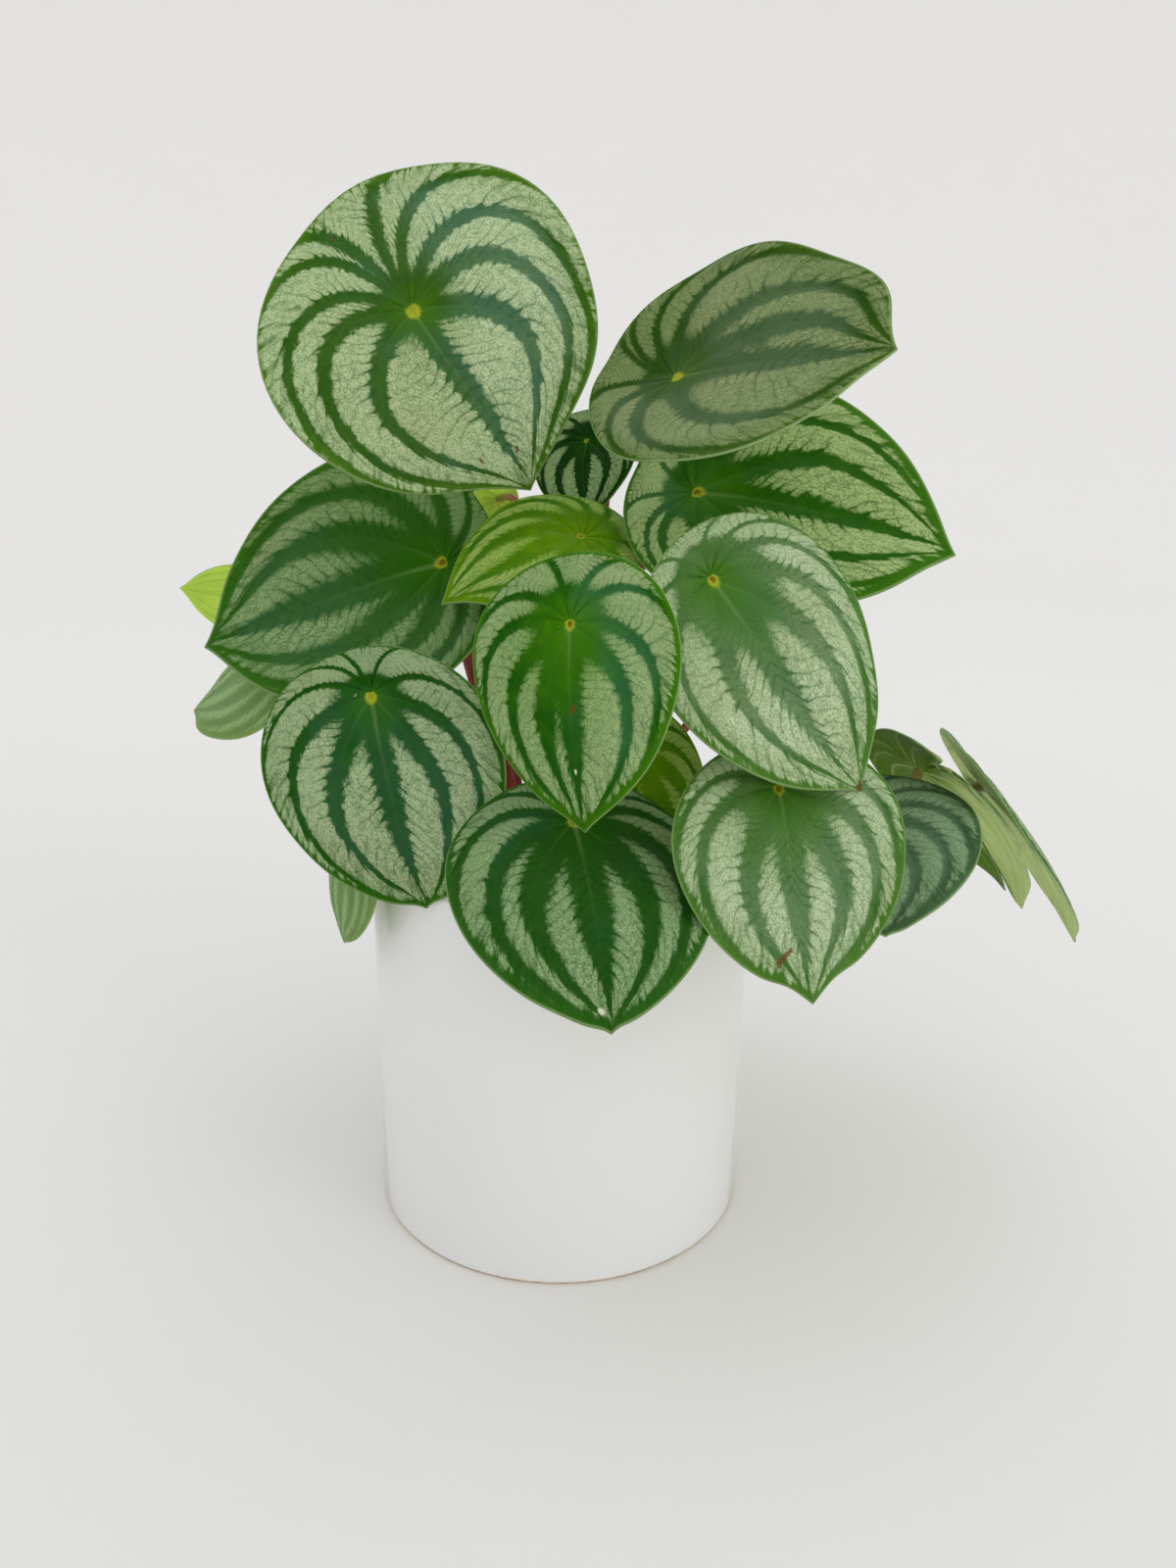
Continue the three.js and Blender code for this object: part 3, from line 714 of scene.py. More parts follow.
def blade_group():
    """Upper face: dark bands along the main veins, silver fields between them, hub and thin rim."""
    look = settings("blade")
    tree, w, given = new_group(
        "striped_blade",
        {"Float": "Reach, Turn, Squeeze, Nearest, Across, Seed, Band, Bare, End, Edge, Veil, Dot, Warmth, "
                  "Glow Reach",
         "Vector": "Place, Warm Way", "Color": "Dark, Cool, Silver, Glow"},
        {"Color": "Color", "Float": "Roughness, Height"})
    reach, turn, place, seed, nearest, across, edge, glow_reach = (given[name] for name in (
        "Reach", "Turn", "Place", "Seed", "Nearest", "Across", "Edge", "Glow Reach"))
    distance = nearest * math.radians(WIDEST_FIELD) * reach * given["Squeeze"]

    # lines that cross the silver, and dark teeth where they leave their bands
    line, kept = side_veins(w, reach, across, place, seed, SIDE_VEINS_ABOVE)
    fading = kept * (1.0 - across * 0.8)
    side = line ** (across * 8.0 + 3.0) * fading
    tooth = line ** 4.0 * fading

    # the silver keeps clear of the veins, of the hub and of the margin
    jag = w.noise(place, JAG_SCALE, 4.0, seed, 0.75) - 0.5
    ray = w.vector("SCALE", w.vector("NORMALIZE", place), RAY_SCALE)
    ray = w.vector("ADD", ray, w.vector("SCALE", place, 3.0))
    comb = w.noise(ray, 1.0, 2.0, seed) - 0.5
    narrowing = 1.0 - w.step(reach, 0.6, 0.95) * 0.4
    clear = (given["Band"] - 0.012) * narrowing + jag * 0.1 + tooth * 0.045
    bare = w.ramp(turn, [(0, 0.17), (0.33, 0.25), (0.5, 0.3), (0.72, 0.4), (1, 0.45)])
    off_hub = jag * 0.3 + reach - bare * given["Bare"]
    off_margin = given["End"] - comb * 0.13 - reach
    silver = w.step(distance - clear, -0.01, edge) * w.step(off_hub, -0.05, edge + 0.07)
    silver = silver * w.step(off_margin, -0.015, 0.02)

    # its grain, and a net of fine dark lines
    bent = w.vector("SCALE", w.noise(place, 9.0, 2.0, seed, output="Color"), 0.05)
    net = w.step(w.cells(w.vector("ADD", place, bent), NET_SCALE, "DISTANCE_TO_EDGE"), 0.08, 0.0)
    net = net * w.patches(place, 4.0, 1.0, seed, 0.38, 0.6)
    fringe = w.step(comb, 0.0, 0.12) * w.step(off_margin, 0.2, 0.02)
    coarse = w.step(w.noise(place, COARSE_GRAIN, 2.0, seed, 0.6), 0.35, 0.6)
    fine = w.noise(place, FINE_GRAIN, 1.0, seed)
    level = coarse * 0.24 + w.step(fine, 0.38, 0.58) * 0.46 + 0.34
    for mark, depth in ((side, 0.92), (net, 0.42), (fringe, 0.5)):
        level = level * (1.0 - mark * depth)
    silver = silver * level

    # band colour, warmer at one side and in soft patches; toward the other side a blue-green, partly the
    # blade's own colour and partly a painted sheen; a glow round the hub, partly the blade's own paler green
    # and partly painted light shining through the blade, and a paler margin
    patch = w.noise(place, 2.2, 2.0, seed)
    right, tipward, _ = w.parts(w.vector("MULTIPLY", place, given["Warm Way"]))
    warm = w.step(right + tipward + given["Warmth"] + (patch - 0.5) * 2.4, 0.0, 1.0)
    warm = w.larger(warm, w.step(reach, 0.75, 0.92))
    shade = w.noise(place, 9.0, 4.0, seed, 0.6)
    glow = w.larger(w.larger(1.0 - reach / glow_reach, 0.0) * 0.5, w.step(reach, 0.88, 1.0) * 0.4)
    glow = w.math("MINIMUM", glow + w.step(shade, 0.42, 0.78) * 0.22, 1.0)
    band = w.mix(glow, w.mix(warm, given["Cool"], given["Dark"]), given["Glow"])
    close = w.larger(1.0 - reach / (glow_reach * 1.5), 0.0) * 0.6
    field = w.mix(warm * 0.14 + close, given["Silver"], given["Glow"])
    field = w.mix(w.patches(place, 1.6, 2.0, seed, 0.5, 0.75) * 0.25, field, paint(FIELD_TINGE))
    # painted sheen: silver colour laid over the bands in soft patches, most where the bands are least warm
    veil = (1.0 - warm * 0.6) * given["Veil"] * level * w.step(patch, 0.2, 0.65) * w.step(reach, 0.06, 0.3)
    colour = w.mix(w.larger(silver, veil), band, field)

    # fine pale veins near the hub, which the blade has, stronger along the midrib, partly as a painted sheen
    # on its ridge; the hub with its dot, and the thin rim
    fade = w.ramp(reach, [(0, 1), (0.1, 0.7), (0.25, 0.2), (0.6, 0.04), (1, 0)])
    midrib = w.step(turn, 0.09, 0.03) * 0.16 + 0.12
    colour = w.mix(w.step(distance, 0.014, 0.002) * fade * midrib, colour, look.vein)
    hub_reach = jag * 0.03 + reach
    colour = w.mix(w.step(hub_reach, *HUB_RING) * 0.9, colour, look.hub)
    colour = w.mix(w.step(hub_reach, *HUB_DOT) * given["Dot"], colour, look.dot)
    colour = w.mix(w.step(reach, *THIN_RIM) * 0.5, colour, look.rim)

    height = w.math("MINIMUM", nearest * 3.0, 1.0) ** 0.6 - side * 0.3 + fine * silver * 0.25
    w.give(Color=colour, Roughness=silver * 0.1 + shade * 0.12 + 0.32,
           Height=height - w.step(reach, 0.07, 0.0) * 0.8)
    return tree


def scar_group():
    """A small brown scar with frayed ends."""
    tree, w, given = new_group(
        "scar", {"Vector": "Plan, Centre, Stretch", "Float": "Turn, Size", "Color": "Under, Brown"},
        {"Color": "Color"})
    turned = w.feed(w.add("ShaderNodeVectorRotate", rotation_type="Z_AXIS"),
                    {"Vector": w.vector("SUBTRACT", given["Plan"], given["Centre"]),
                     "Angle": given["Turn"]})
    away = w.vector("LENGTH", w.vector("MULTIPLY", turned, given["Stretch"]))
    away = away * (w.noise(given["Plan"], 70.0, 3.0) * 2.0 + 0.2)
    share = w.step(1.0 - away / given["Size"], 0.0, 0.6) * 0.85
    w.give(Color=w.mix(share, given["Under"], given["Brown"]))
    return tree


def stripes_of(number):
    return {**COMMON_STRIPES, **STRIPES.get(number, {})}


def plan_place(right, tipward):
    """Place on a blade's UV plan, from shares of the reach to its right and toward its tip."""
    return 0.5 + right / 2, 0.5 + tipward / 2, 0


def marked(w, plan, colour, marks, brown, groups):
    """The colour with its scars or spots."""
    for right, tipward, size, narrow, turn in marks:
        colour = w.group(groups["scar"], plan=plan, centre=plan_place(right, tipward), size=size / 2,
                         stretch=(narrow, 1, 1), turn=math.radians(turn), under=colour, brown=brown)["Color"]
    return colour


def vein_lines(w, plan, stripes, seed, groups):
    """The vein map of a blade, the nearness of its main veins and the place across its fields."""
    veins = w.group(groups["veins"], plan=plan, seed=seed, bow=stripes["bow"], delay=stripes["delay"])
    nearest, across = (w.ramp(veins["Start"], stops) for stops in stripe_stops(stripes["veins"]))
    return veins, nearest, across


def blade_material(number, leaf, groups):
    stripes = stripes_of(number)
    *colours, glow_reach = TONES[leaf["tone"]]
    dark, cool, silver, glow = (paint(colour) for colour in colours)
    *warm_way, warmth = stripes["warm"]
    material, w = new_material(f"blade_{number:02d}")
    plan, seed = w.uv_place("plan"), number * SEED_STEP
    veins, nearest, across = vein_lines(w, plan, stripes, seed, groups)
    shared = {name: veins[name.title()] for name in ("reach", "turn", "squeeze", "place")}
    pattern = {name: stripes[name] for name in ("band", "bare", "end", "edge", "veil", "dot")}
    face = w.group(groups["blade"], **shared, **pattern, nearest=nearest, across=across, seed=seed, dark=dark,
                   cool=cool, silver=silver, glow=glow, glow_reach=glow_reach, warm_way=(*warm_way, 0),
                   warmth=warmth)
    colour = marked(w, plan, face["Color"], SCARS.get(number, ()), settings("blade").scar, groups)
    colour = marked(w, plan, colour, PALE_MARKS.get(number, ()), paint(PALE_MARK), groups)
    w.surface(colour, face["Roughness"], w.bump(face["Height"], 0.5, 0.5), shine=SHINE_ABOVE)
    return material


def underside_material(name, colour, shade_places, scars, groups):
    """Pale lower face with darker veins, and with olive painted shade and scars where a blade has them."""
    material, w = new_material(name)
    plan = w.uv_place("plan")
    veins, nearest, across = vein_lines(w, plan, COMMON_STRIPES, SEED_BELOW, groups)
    reach, place = veins["Reach"], veins["Place"]
    off_vein = nearest * math.radians(WIDEST_FIELD) * reach
    line, kept = side_veins(w, reach, across, place, SEED_BELOW, SIDE_VEINS_BELOW)
    side = line ** 7.0 * kept
    dark, pale = shaded(colour, 0.62), shaded(colour, 1.2)
    patch = w.noise(place, 3.0, 4.0, 2.0)
    tint = w.mix(w.step(patch, 0.35, 0.7), colour, pale)
    # olive patches: painted shade
    for right, tipward, radius in shade_places:
        away = w.vector("DISTANCE", plan, plan_place(right, tipward)) + (patch - 0.5) * 0.12
        tint = w.mix(w.step(away, radius * 0.58, radius * 0.4), tint, paint(SHADE_OLIVE))
    tint = w.mix(w.step(off_vein, 0.06, 0.01) * 0.3, tint, dark)
    tint = w.mix(side * 0.25, tint, dark)
    tint = w.mix(w.step(off_vein, 0.012, 0.004) * 0.5, tint, pale)
    tint = w.mix(w.step(reach, 0.05, 0.02) * 0.5, tint, paint(JOINT_BROWN))
    tint = marked(w, plan, tint, scars, settings("blade").scar, groups)
    ribs = w.step(off_vein, 0.03, 0.0) + side * 0.2
    w.surface(tint, patch * 0.15 + 0.42, w.bump(ribs, 0.5, 0.5), shine=SHINE_BELOW)
    return material


def rim_material():
    look = settings("blade")
    material, w = new_material("blade_rim")
    patch = w.noise(w.object_place(), 180.0, 3.0)
    w.surface(w.mix(w.step(patch, 0.4, 0.75), look.rim, shaded(look.rim, 0.6)), patch * 0.1 + 0.38)
    return material


def stalk_material():
    look = settings("stalk")
    material, w = new_material("red_stalk")
    along = w.parts(w.uv_place("along"))[1]
    place = w.object_place()
    streaks = w.noise(w.vector("MULTIPLY", place, (1, 1, 0.12)), 900.0, 3.0)
    blotches = w.noise(place, 90.0, 2.0)
    colour = w.mix(w.step(streaks, 0.4, 0.7), look.red, look.dark_red)
    green_share = w.step(along, 0.85, 0.98) * 0.8 + w.step(blotches, 0.55, 0.8) * 0.12
    w.surface(w.mix(green_share, colour, look.green), blotches * 0.2 + 0.28, w.bump(streaks, 0.25, 0.2))
    return material


def soil_material():
    look = settings("soil")
    material, w = new_material("potting_mix")
    place = w.object_place()
    lumps = w.noise(place, 260.0, 5.0, 0.0, 0.7)
    fibres = w.patches(w.vector("MULTIPLY", place, (1, 0.25, 1)), 900.0, 3.0, 4.0, 0.6, 0.75)
    colour = w.mix(w.step(lumps, 0.4, 0.72), look.dark, look.light)
    colour = w.mix(fibres * 0.6, colour, paint(SOIL_FIBRE))
    colour = w.mix(w.step(w.cells(place, 240.0), 0.16, 0.1), colour, paint(SOIL_SPECK))
    w.surface(colour, lumps * 0.2 + 0.75, w.bump(lumps, 0.8, 0.8))
    return material


def glaze_material():
    look = settings("pot")
    material, w = new_material("white_glaze")
    place = w.object_place()
    drift = w.noise(place, 14.0, 3.0)
    warm = [channel * factor for channel, factor in zip(look.glaze, (0.97, 0.955, 0.92, 1))]
    glaze = w.mix(w.step(drift, 0.4, 0.75) * 0.35, look.glaze, warm)
    glaze = w.mix(w.step(w.cells(place, 90.0), 0.035, 0.02) * 0.35, glaze, look.clay)
    clay = w.mix(w.patches(place, 700.0, 3.0, 0.0, 0.4, 0.7), look.clay, paint(DARK_CLAY))
    bare_height = w.noise(place, 60.0, 2.0, 7.0) * MM + 0.35 * MM
    glazed = w.step(w.parts(place)[2] - bare_height, -0.3 * MM, 0.3 * MM)
    roughness = drift * 0.06 + 0.12 + (1.0 - glazed) * 0.6
    w.surface(w.mix(glazed, clay, glaze), roughness, w.bump(w.noise(place, 40.0, 3.0, 2.0), 0.12, 0.6))
    return material


def floor_material():
    look = settings("stage")
    material, w = new_material("pale_floor")
    place = w.object_place()
    # painted shade: the floor darker toward the middle round the plant, with faint random patches
    share = w.step(w.vector("LENGTH", place), 0.9, 0.3) * 0.3 + w.noise(place, 3.0, 3.0) * 0.2
    w.surface(w.mix(share, look.floor, shaded(look.floor, 0.9)), 0.7, shine=0.3)
    return material


# Pot and soil

def make_pot():
    """Cylinder hollowed from above, with its rim, foot and well rounded."""
    look = settings("pot")
    outer, height, floor = look.diameter / 2, look.height, POT_FLOOR * MM
    inner = outer - look.wall
    deselect_all()
    bpy.ops.mesh.primitive_cylinder_add(vertices=POT_SIDES, radius=outer, depth=height,
                                        location=(0, 0, height / 2))
    bpy.ops.object.transform_apply(location=True, rotation=False, scale=False)
    pot = named("glazed_pot")
    edit_mode()
    choose(pot, "faces", lambda face: face.normal.z > 0.9)
    bpy.ops.mesh.inset(thickness=look.wall / math.cos(math.pi / POT_SIDES))
    bpy.ops.mesh.extrude_region_move(TRANSFORM_OT_translate={"value": (0, 0, floor - height)})
    corners = ((height, outer, RIM_ROUND, 5), (height, inner, INNER_ROUND, 4), (0, outer, FOOT_ROUND, 3),
               (floor, inner, WELL_ROUND, 4))
    for level, radius, round_over, facets in corners:
        choose(pot, "edges", edges_at(level, radius))
        bpy.ops.mesh.bevel(offset=round_over * MM, segments=facets)
    object_mode()
    bpy.ops.object.shade_smooth_by_angle(angle=math.radians(POT_CREASE))
    pot.data.materials.append(glaze_material())
    hand_in(pot, "pot")


def disc_blank(name, spokes, rings):
    """Flat disc of radius 1, drawn outward ring by ring from a small circle."""
    deselect_all()
    bpy.ops.mesh.primitive_circle_add(vertices=spokes, radius=rings[0], fill_type="TRIFAN")
    blank = named(name)
    edit_mode()
    choose(blank, "edges", lambda edge: edge.is_boundary)
    for inner, outer in zip(rings, rings[1:]):
        bpy.ops.mesh.extrude_region_move()
        growth = outer / inner
        bpy.ops.transform.resize(value=(growth, growth, 1), center_override=(0, 0, 0))
    object_mode()
    return blank


def soil_level(share):
    """Height of the soil at a share of its radius: level in the middle, lower toward the wall."""
    return (SOIL_TOP - SOIL_DISH * max(0.0, (share - SOIL_LEVEL) / (1 - SOIL_LEVEL))) * MM


def make_bed(radius, relief):
    """Block of soil with an uneven top."""
    rings = [SOIL_MIDDLE] + [step / SOIL_RINGS for step in range(1, SOIL_RINGS + 1)]
    soil = disc_blank("soil_bed", SOIL_SPOKES, rings)
    points = coordinates(soil.data)
    reach = np.hypot(points[:, 0], points[:, 1])
    points[:, :2] *= radius
    for place, share in zip(points, reach):
        lumps = noise.fractal(Vector((place[0], place[1], 0)) * LUMPS_PER_METRE, 1.0, 2.0, 4)
        place[2] = soil_level(share) + relief * LUMP_SHARE * lumps
    set_coordinates(soil.data, points)
    activate(soil)
    edit_mode()
    choose(soil, "edges", lambda edge: edge.is_boundary)
    bpy.ops.mesh.extrude_region_move()
    bpy.ops.transform.resize(value=(1, 1, 0), center_override=(0, 0, (POT_FLOOR + WELL_ROUND) * MM))
    bpy.ops.mesh.edge_face_add()
    finish_shell()
    return soil


def make_crumbs(count, mean_size, radius):
    """Rough lumps, strewn over the soil."""
    draw = random.Random(SEED)
    deselect_all()
    bpy.ops.mesh.primitive_ico_sphere_add(subdivisions=2, radius=0.5)
    crumb = named("crumb")
    crumbs = []
    for index in range(count):
        piece = copy_of(crumb, f"crumb_{index:03d}")
        turn, share = draw.uniform(0, 2 * math.pi), math.sqrt(draw.random()) * CRUMB_SPREAD
        size = mean_size * draw.uniform(*CRUMB_SIZES)
        shape = Matrix.Diagonal([draw.uniform(*ends) for ends in CRUMB_SHAPES])
        spin = Matrix.Rotation(draw.uniform(0, CRUMB_TURN), 3, "Z")
        spin = spin @ Matrix.Rotation(draw.uniform(-CRUMB_TILT, CRUMB_TILT), 3, "X")
        out = share * radius
        centre = Vector((math.cos(turn) * out, math.sin(turn) * out, soil_level(share) + size * CRUMB_LIFT))
        seed = Vector((draw.uniform(0, 50), 0, 0))
        points = []
        for vertex in piece.data.vertices:
            rough = 1 + CRUMB_ROUGHNESS * noise.noise(vertex.co * CRUMB_GRAIN + seed)
            points.append(centre + spin @ shape @ (vertex.co * rough * size))
        set_coordinates(piece.data, points)
        crumbs.append(piece)
    discard(crumb)
    return crumbs


def make_soil():
    """Uneven bed that fills the pot, with loose crumbs on it."""
    look, pot = settings("soil"), settings("pot")
    radius = pot.diameter / 2 - pot.wall - SOIL_GAP * MM
    soil = make_bed(radius, look.relief)
    crumbs = make_crumbs(look.crumbs, look.crumb_size, radius)
    activate(soil)
    for piece in crumbs:
        piece.select_set(True)
    bpy.ops.object.join()
    bpy.ops.object.shade_smooth_by_angle(angle=math.radians(SOIL_CREASE))
    soil.data.materials.append(soil_material())
    hand_in(soil, "soil")


# Leaves

def blade_frame(aim):
    """Across, towards the tip, and out of the upper face."""
    a, e, t = (math.radians(angle) for angle in aim)
    normal = np.array((math.cos(e) * math.sin(a), -math.cos(e) * math.cos(a), math.sin(e)))
    downhill = np.array((math.sin(e) * math.sin(a), -math.sin(e) * math.cos(a), -math.cos(e)))
    level = np.array((math.cos(a), math.sin(a), 0))
    tipward = downhill * math.cos(t) + level * math.sin(t)
    return np.cross(tipward, normal), tipward, normal


def margin_point(angle, leaf):
    """Margin of a blade seen flat: an egg with a drawn-out tip at angle 0."""
    length, width, share = leaf["size"]
    reach = np.cos(angle) + 1 + TIP_SHARPNESS * np.exp(-np.abs(angle) / TIP_SPREAD)
    y = length * (reach / (2 + TIP_SHARPNESS) - share)
    x = width / 2 * np.sin(angle) * (1 - EGG_SHAPE * np.cos(angle)) / (1 + EGG_SHAPE ** 2 / 2)
    growth = 0
    for place, amount, wide in leaf.get("bulge", ()):
        away = np.abs(angle - math.radians(place))
        gap = np.degrees(np.minimum(away, 2 * math.pi - away))
        growth = growth + amount * np.exp(-(gap / wide) ** 2)
    for place, depth, wide in leaf.get("bites", ()):
        growth = growth - depth * np.exp(-np.degrees(np.abs(angle - math.radians(place)) / wide) ** 4)
    scale = 1 + growth / np.hypot(x, y)
    return x * scale, y * scale


def plan_point(angle, ring, leaf):
    """Point of a blade seen flat, on the bowed vein that runs to the margin, and that vein's heading."""
    x, y = margin_point(angle, leaf)
    reach = np.hypot(x, y) / 2
    heading = np.arctan2(x, y)
    start = heading + math.radians(VEIN_BOW) * np.sin(heading)
    pull = 2 * ring * (1 - ring)
    return pull * reach * np.sin(start) + ring ** 2 * x, pull * reach * np.cos(start) + ring ** 2 * y, heading


def surface_height(x, y, size, curl):
    """Height of the blade's middle layer above the hub's level."""
    length, width, share = size
    dome, droop, back, keel, twist = curl
    half = width / 2
    middle = length * (0.5 - share)
    spread = (x / half) ** 2 + ((y - middle) / (length / 2)) ** 2 - (middle / (length / 2)) ** 2
    dimple = 1 - np.exp(-(x * x + y * y) / (DIMPLE_WIDTH * length) ** 2)
    tip_share = np.maximum(0, y / ((1 - share) * length))
    back_share = np.maximum(0, -y / (share * length))
    fold = np.sqrt(x * x + KEEL_ROUND ** 2) - KEEL_ROUND
    return (HUB_DIMPLE * dimple - dome * spread + keel * fold / half
            - droop * tip_share ** 2 - back * back_share ** 2 + twist * x * y / (half * length))


def vein_field(heading, ring, stripes):
    """0 on a main vein, 1 in the middle of a wide field."""
    from_tip = np.arctan2(np.abs(ring * np.sin(heading)), PAST_TIP - ring * np.cos(heading))
    start = np.abs(heading) + stripes["bow"] * ring ** stripes["delay"] * from_tip
    start = np.minimum(start, math.pi) * np.sign(heading)
    ways, levels = zip(*stripe_stops(stripes["veins"])[0])
    off_vein = np.interp(start / (2 * math.pi) + 0.5, ways, levels) * WIDEST_FIELD
    return np.minimum(off_vein / FULL_BULGE, 1)


def thicken(blade, ring, thickness):
    """Gives the blade its thickness, less toward the margin, with the underside's and the rim's finish."""
    group = blade.vertex_groups.new(name="thick")
    rounded = np.round(ring, 3)
    for value in sorted(set(rounded)):
        same = np.nonzero(rounded == value)[0].tolist()
        group.add(same, float(np.clip((1 - value) / EDGE_TAPER, 0, 1)) ** 0.5, "REPLACE")
    solidify = blade.modifiers.new("thickness", "SOLIDIFY")
    solidify.thickness = thickness
    solidify.offset = 0
    solidify.vertex_group = "thick"
    solidify.thickness_vertex_group = EDGE_SHARE
    solidify.material_offset = 1
    solidify.material_offset_rim = 2
    activate(blade)
    bpy.ops.object.modifier_apply(modifier=solidify.name)


def make_blade(number, leaf, blank, materials):
    """One blade: the flat disc pulled into its outline, puckered, curled, thickened and put in place."""
    look = settings("blade")
    size, curl = leaf["size"], leaf["curl"]
    draw = random.Random(SEED + number)
    blade = copy_of(blank, f"blade_{number:02d}")
    points = coordinates(blade.data)
    ring = np.minimum(np.hypot(points[:, 0], points[:, 1]), 1.0)
    around = np.arctan2(points[:, 0], points[:, 1])
    angle = around - TIP_CROWDING * np.sin(around)
    x, y, heading = plan_point(angle, ring, leaf)
    scale = size[0] / GROWN_LENGTH
    height = surface_height(x, y, size, curl)
    field = vein_field(heading, ring, stripes_of(number))
    calm = np.clip(ring / CALM_HUB, 0, 1) * np.clip((1 - ring) / CALM_MARGIN, 0, 1)
    height += look.pucker / MM * scale * calm * (np.sin(field * math.pi / 2) - 0.5)
    for lobes in WAVE_LOBES:
        phase = draw.uniform(0, 2 * math.pi)
        height += look.wave / MM * scale * ring ** 3 * np.sin(lobes * around + phase) / math.sqrt(lobes)
    across, tipward, normal = blade_frame(leaf["aim"])
    placed = np.array(leaf["hub"]) + np.outer(x, across) + np.outer(y, tipward) + np.outer(height, normal)
    set_coordinates(blade.data, placed * MM)
    set_uv(blade.data, "plan", 0.5 + 0.5 * ring * np.sin(heading), 0.5 + 0.5 * ring * np.cos(heading))
    for material in materials:
        blade.data.materials.append(material)
    thicken(blade, ring, look.thickness)
    bpy.ops.object.shade_smooth()
    hand_in(blade, f"leaf_{number:02d}")


def stalk_path(leaf):
    """Middle line of a stalk from inside the soil to the blade, and its radius, in millimetres."""
    normal = blade_frame(leaf["aim"])[2]
    radius = STALK_RADIUS + RADIUS_GROWTH * leaf["size"][0]
    neck = np.array((*leaf["foot"], SOIL_TOP + STALK_NECK))
    end = np.array(leaf["hub"], dtype=float)
    span = end - neck
    length = np.linalg.norm(span)
    if "route" in leaf:
        guides = [np.array(point, dtype=float) for point in leaf["route"]]
    else:
        slant = span / length * STALK_SLANT - normal
        slant *= STALK_REACH * length / np.linalg.norm(slant)
        rise = max(STALK_RISE * span[2], LEAST_RISE)
        guides = [neck + (span[0] * STALK_LEAN, span[1] * STALK_LEAN, rise), end + slant]
    joint = end - normal * BLADE_THICKNESS / 2
    arch = [neck, *guides, joint]
    steps = np.linspace(0, 1, STALK_RINGS)
    weights = ((1 - steps) ** 3, 3 * steps * (1 - steps) ** 2, 3 * steps ** 2 * (1 - steps), steps ** 3)
    curve = sum(np.outer(weight, point) for weight, point in zip(weights, arch))
    root = neck - (0, 0, STALK_ROOT)
    return np.vstack([root, (root + neck) / 2, curve]), radius, normal


def rod_blank(rings):
    """Upright rod of radius 1 and height 1, cut across into rings."""
    deselect_all()
    bpy.ops.mesh.primitive_cylinder_add(vertices=STALK_SIDES, radius=1, depth=1, location=(0, 0, 0.5))
    bpy.ops.object.transform_apply(location=True, rotation=False, scale=False)
    rod = named("rod")
    edit_mode()
    choose(rod, "edges", lambda edge: abs(edge.verts[0].co.z - edge.verts[1].co.z) > 0.5)
    bpy.ops.mesh.subdivide(number_cuts=rings - 2)
    object_mode()
    return rod


def make_stalk(number, leaf, rod, material):
    """One stalk: the rod laid along its arch, thicker at the root and just under the blade."""
    path, radius, normal = stalk_path(leaf)
    tangents = np.gradient(path, axis=0)
    tangents /= np.linalg.norm(tangents, axis=1)[:, None]
    side = np.array((1.0, 0, 0))
    sides = []
    for tangent in tangents:
        side = side - tangent * np.dot(side, tangent)
        side /= np.linalg.norm(side)
        sides.append(side)
    sides = np.array(sides)
    others = np.cross(tangents, sides)
    share = np.linspace(0, 1, len(path))
    flare = settings("stalk").flare
    swell = flare * np.exp(-share / FLARE_LENGTH) + COLLAR * np.exp(-(1 - share) / COLLAR_LENGTH)
    widths = radius * (STALK_WAIST + swell)
    stalk = copy_of(rod, f"stalk_{number:02d}")
    points = coordinates(stalk.data)
    ring = np.rint(points[:, 2] * (len(path) - 1)).astype(int)
    section = sides[ring] * points[:, :1] + others[ring] * points[:, 1:2]
    placed = path[ring] + section * widths[ring][:, None]
    top = ring == len(path) - 1
    lift = -STALK_BITE - (placed[top] - leaf["hub"]) @ normal
    placed[top] += np.outer(lift, normal)
    set_coordinates(stalk.data, placed * MM)
    set_uv(stalk.data, "along", np.arctan2(points[:, 1], points[:, 0]) / (2 * math.pi) + 0.5, share[ring])
    activate(stalk)
    bpy.ops.object.shade_smooth_by_angle(angle=math.radians(STALK_CREASE))
    stalk.data.materials.append(material)
    hand_in(stalk, f"petiole_{number:02d}")


# Stage

def make_floor():
    """Round floor whose rim curves up, so that no horizon shows from any side."""
    look = settings("stage")
    deselect_all()
    bpy.ops.mesh.primitive_circle_add(vertices=FLOOR_SIDES, radius=look.reach, fill_type="TRIFAN")
    floor = named("floor")
    edit_mode()
    choose(floor, "edges", lambda edge: edge.is_boundary)
    turns = [math.radians(FLOOR_SLOPE) * step / FLOOR_STEPS for step in range(FLOOR_STEPS + 1)]
    reach = look.reach
    for before, turn in zip(turns, turns[1:]):
        grown = look.reach + FLOOR_BEND * math.sin(turn)
        rise = FLOOR_BEND * (math.cos(before) - math.cos(turn))
        bpy.ops.mesh.extrude_region_move(TRANSFORM_OT_translate={"value": (0, 0, rise)})
        bpy.ops.transform.resize(value=(grown / reach, grown / reach, 1), center_override=(0, 0, 0))
        reach = grown
    finish_shell()
    bpy.ops.object.shade_smooth()
    floor.data.materials.append(floor_material())


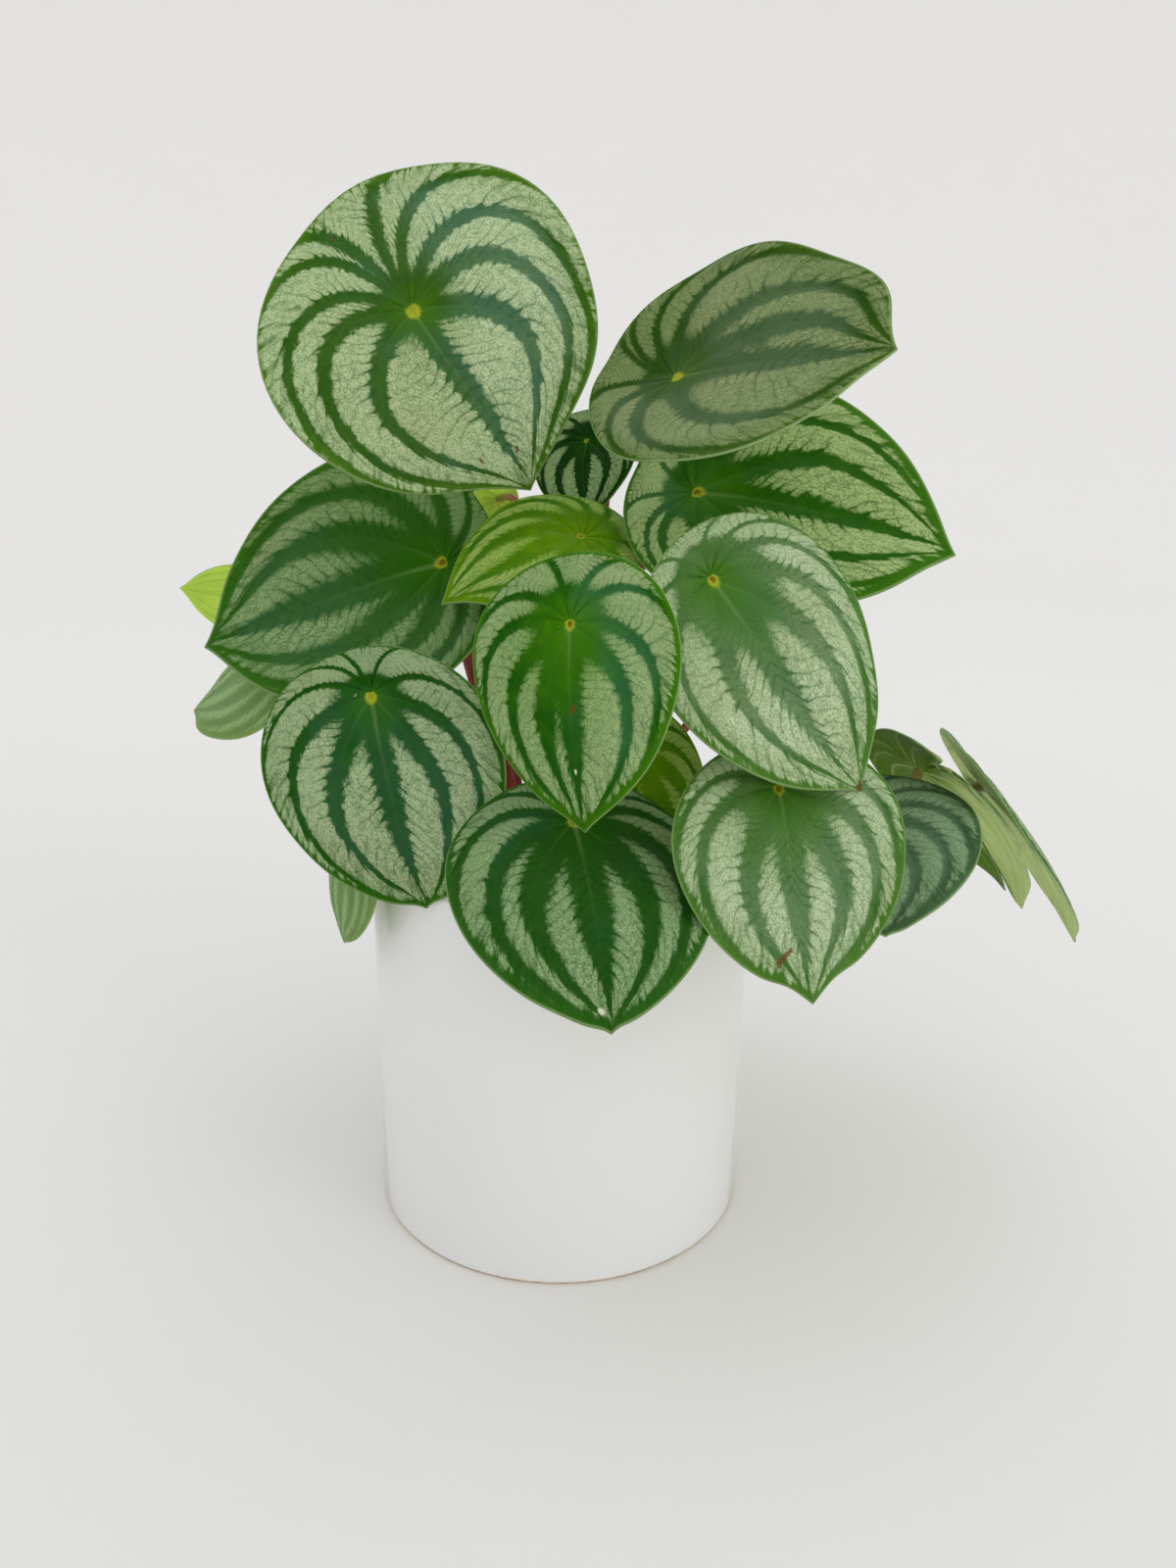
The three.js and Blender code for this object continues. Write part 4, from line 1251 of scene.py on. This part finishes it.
def light_stage():
    """Even light from all round and one large lamp."""
    look = settings("stage")
    scene = bpy.context.scene
    world = bpy.data.worlds.new("pale_room")
    scene.world = world
    world.use_nodes = True
    world.node_tree.nodes.clear()
    w = Wiring(world.node_tree)
    sky = w.feed(w.add("ShaderNodeBackground"), {"Color": SKY_COLOUR, "Strength": look.sky})
    w.feed(w.add("ShaderNodeOutputWorld"), {"Surface": sky})
    deselect_all()
    bpy.ops.object.light_add(type="AREA", location=KEY_PLACE)
    lamp = named("key")
    lamp.data.shape = "RECTANGLE"
    lamp.data.size, lamp.data.size_y = KEY_SIZE
    lamp.data.energy = look.key
    lamp.data.color = KEY_COLOUR
    lamp.rotation_euler = (Vector(KEY_AIM) - Vector(KEY_PLACE)).to_track_quat("-Z", "Y").to_euler()
    scene.view_settings.view_transform = "Standard"
    scene.view_settings.look = "None"


def place_camera():
    """Camera as in the photo, a little tilted down and turned about its own axis."""
    down, roll = math.radians(CAMERA_DOWN), math.radians(CAMERA_ROLL)
    forward = Vector((0, math.cos(down), -math.sin(down)))
    level, upright = Vector((1, 0, 0)), Vector((0, math.sin(down), math.cos(down)))
    right = level * math.cos(roll) + upright * math.sin(roll)
    up = upright * math.cos(roll) - level * math.sin(roll)
    deselect_all()
    bpy.ops.object.camera_add()
    camera = named("photo_camera")
    turn = Matrix((right, up, -forward)).transposed().to_4x4()
    camera.matrix_world = Matrix.Translation(Vector(CAMERA_PLACE) * MM) @ turn
    camera.data.sensor_width = SENSOR_WIDTH
    camera.data.lens = settings("stage").lens
    camera.data.clip_start = CLIP_START * MM
    bpy.context.scene.camera = camera


# Operators

class PEPEROMIA_OT_pot(bpy.types.Operator):
    """Make the glazed pot"""
    bl_idname = "peperomia.pot"
    bl_label = "Pot"

    def execute(self, context):
        make_pot()
        return {"FINISHED"}


class PEPEROMIA_OT_soil(bpy.types.Operator):
    """Make the soil bed with its crumbs"""
    bl_idname = "peperomia.soil"
    bl_label = "Soil"

    def execute(self, context):
        make_soil()
        return {"FINISHED"}


class PEPEROMIA_OT_stalks(bpy.types.Operator):
    """Make a stalk for every leaf"""
    bl_idname = "peperomia.stalks"
    bl_label = "Stalks"

    def execute(self, context):
        rod = rod_blank(STALK_RINGS + 2)
        material = stalk_material()
        for number, leaf in enumerate(LEAVES, 1):
            make_stalk(number, leaf, rod, material)
        discard(rod)
        return {"FINISHED"}


class PEPEROMIA_OT_blades(bpy.types.Operator):
    """Make the blade of every leaf"""
    bl_idname = "peperomia.blades"
    bl_label = "Blades"

    def execute(self, context):
        look = settings("blade")
        groups = {"veins": vein_group(), "blade": blade_group(), "scar": scar_group()}
        under = underside_material("blade_underside", look.underside, (), (), groups)
        young_under = underside_material("young_blade_underside", look.young_underside, (), (), groups)
        rim = rim_material()
        blank = disc_blank("disc", SPOKES, RINGS)
        for number, leaf in enumerate(LEAVES, 1):
            leaf = {**leaf, "bites": BITES.get(number, ())}
            top = blade_material(number, leaf, groups)
            below = young_under if leaf["tone"] == "young" else under
            if number in SHADE_PLACES:
                name = f"blade_underside_{number:02d}"
                below = underside_material(name, look.underside, SHADE_PLACES[number], BELOW_SCARS[number], groups)
            make_blade(number, leaf, blank, (top, below, rim))
        discard(blank)
        return {"FINISHED"}


class PEPEROMIA_OT_stage(bpy.types.Operator):
    """Make the floor, the lamp, the sky and the camera"""
    bl_idname = "peperomia.stage"
    bl_label = "Stage"

    def execute(self, context):
        make_floor()
        light_stage()
        place_camera()
        return {"FINISHED"}


class PEPEROMIA_PT_panel(bpy.types.Panel):
    """Buttons and settings, in the 3D view's sidebar"""
    bl_idname = "PEPEROMIA_PT_panel"
    bl_label = "Potted Peperomia"
    bl_space_type = "VIEW_3D"
    bl_region_type = "UI"
    bl_category = "Peperomia"

    def draw(self, context):
        for operator, name in BUTTONS:
            box = self.layout.box()
            box.operator(operator)
            group = settings(name)
            for key in type(group).__annotations__:
                box.prop(group, key)


BUTTONS = (("peperomia.pot", "pot"), ("peperomia.soil", "soil"), ("peperomia.stalks", "stalk"),
           ("peperomia.blades", "blade"), ("peperomia.stage", "stage"))
SETTINGS = {"pot": PotSettings, "soil": SoilSettings, "stalk": StalkSettings, "blade": BladeSettings,
            "stage": StageSettings}
CLASSES = (*SETTINGS.values(), PEPEROMIA_OT_pot, PEPEROMIA_OT_soil, PEPEROMIA_OT_stalks,
           PEPEROMIA_OT_blades, PEPEROMIA_OT_stage, PEPEROMIA_PT_panel)


def register():
    for cls in CLASSES:
        bpy.utils.register_class(cls)
    for name, cls in SETTINGS.items():
        setattr(bpy.types.Scene, "peperomia_" + name, bpy.props.PointerProperty(type=cls))


def unregister():
    for name in SETTINGS:
        delattr(bpy.types.Scene, "peperomia_" + name)
    for cls in reversed(CLASSES):
        bpy.utils.unregister_class(cls)


def main():
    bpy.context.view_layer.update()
    register()
    bpy.ops.peperomia.pot()
    bpy.ops.peperomia.soil()
    bpy.ops.peperomia.stalks()
    bpy.ops.peperomia.blades()
    bpy.ops.peperomia.stage()


if __name__ == "__main__":
    main()
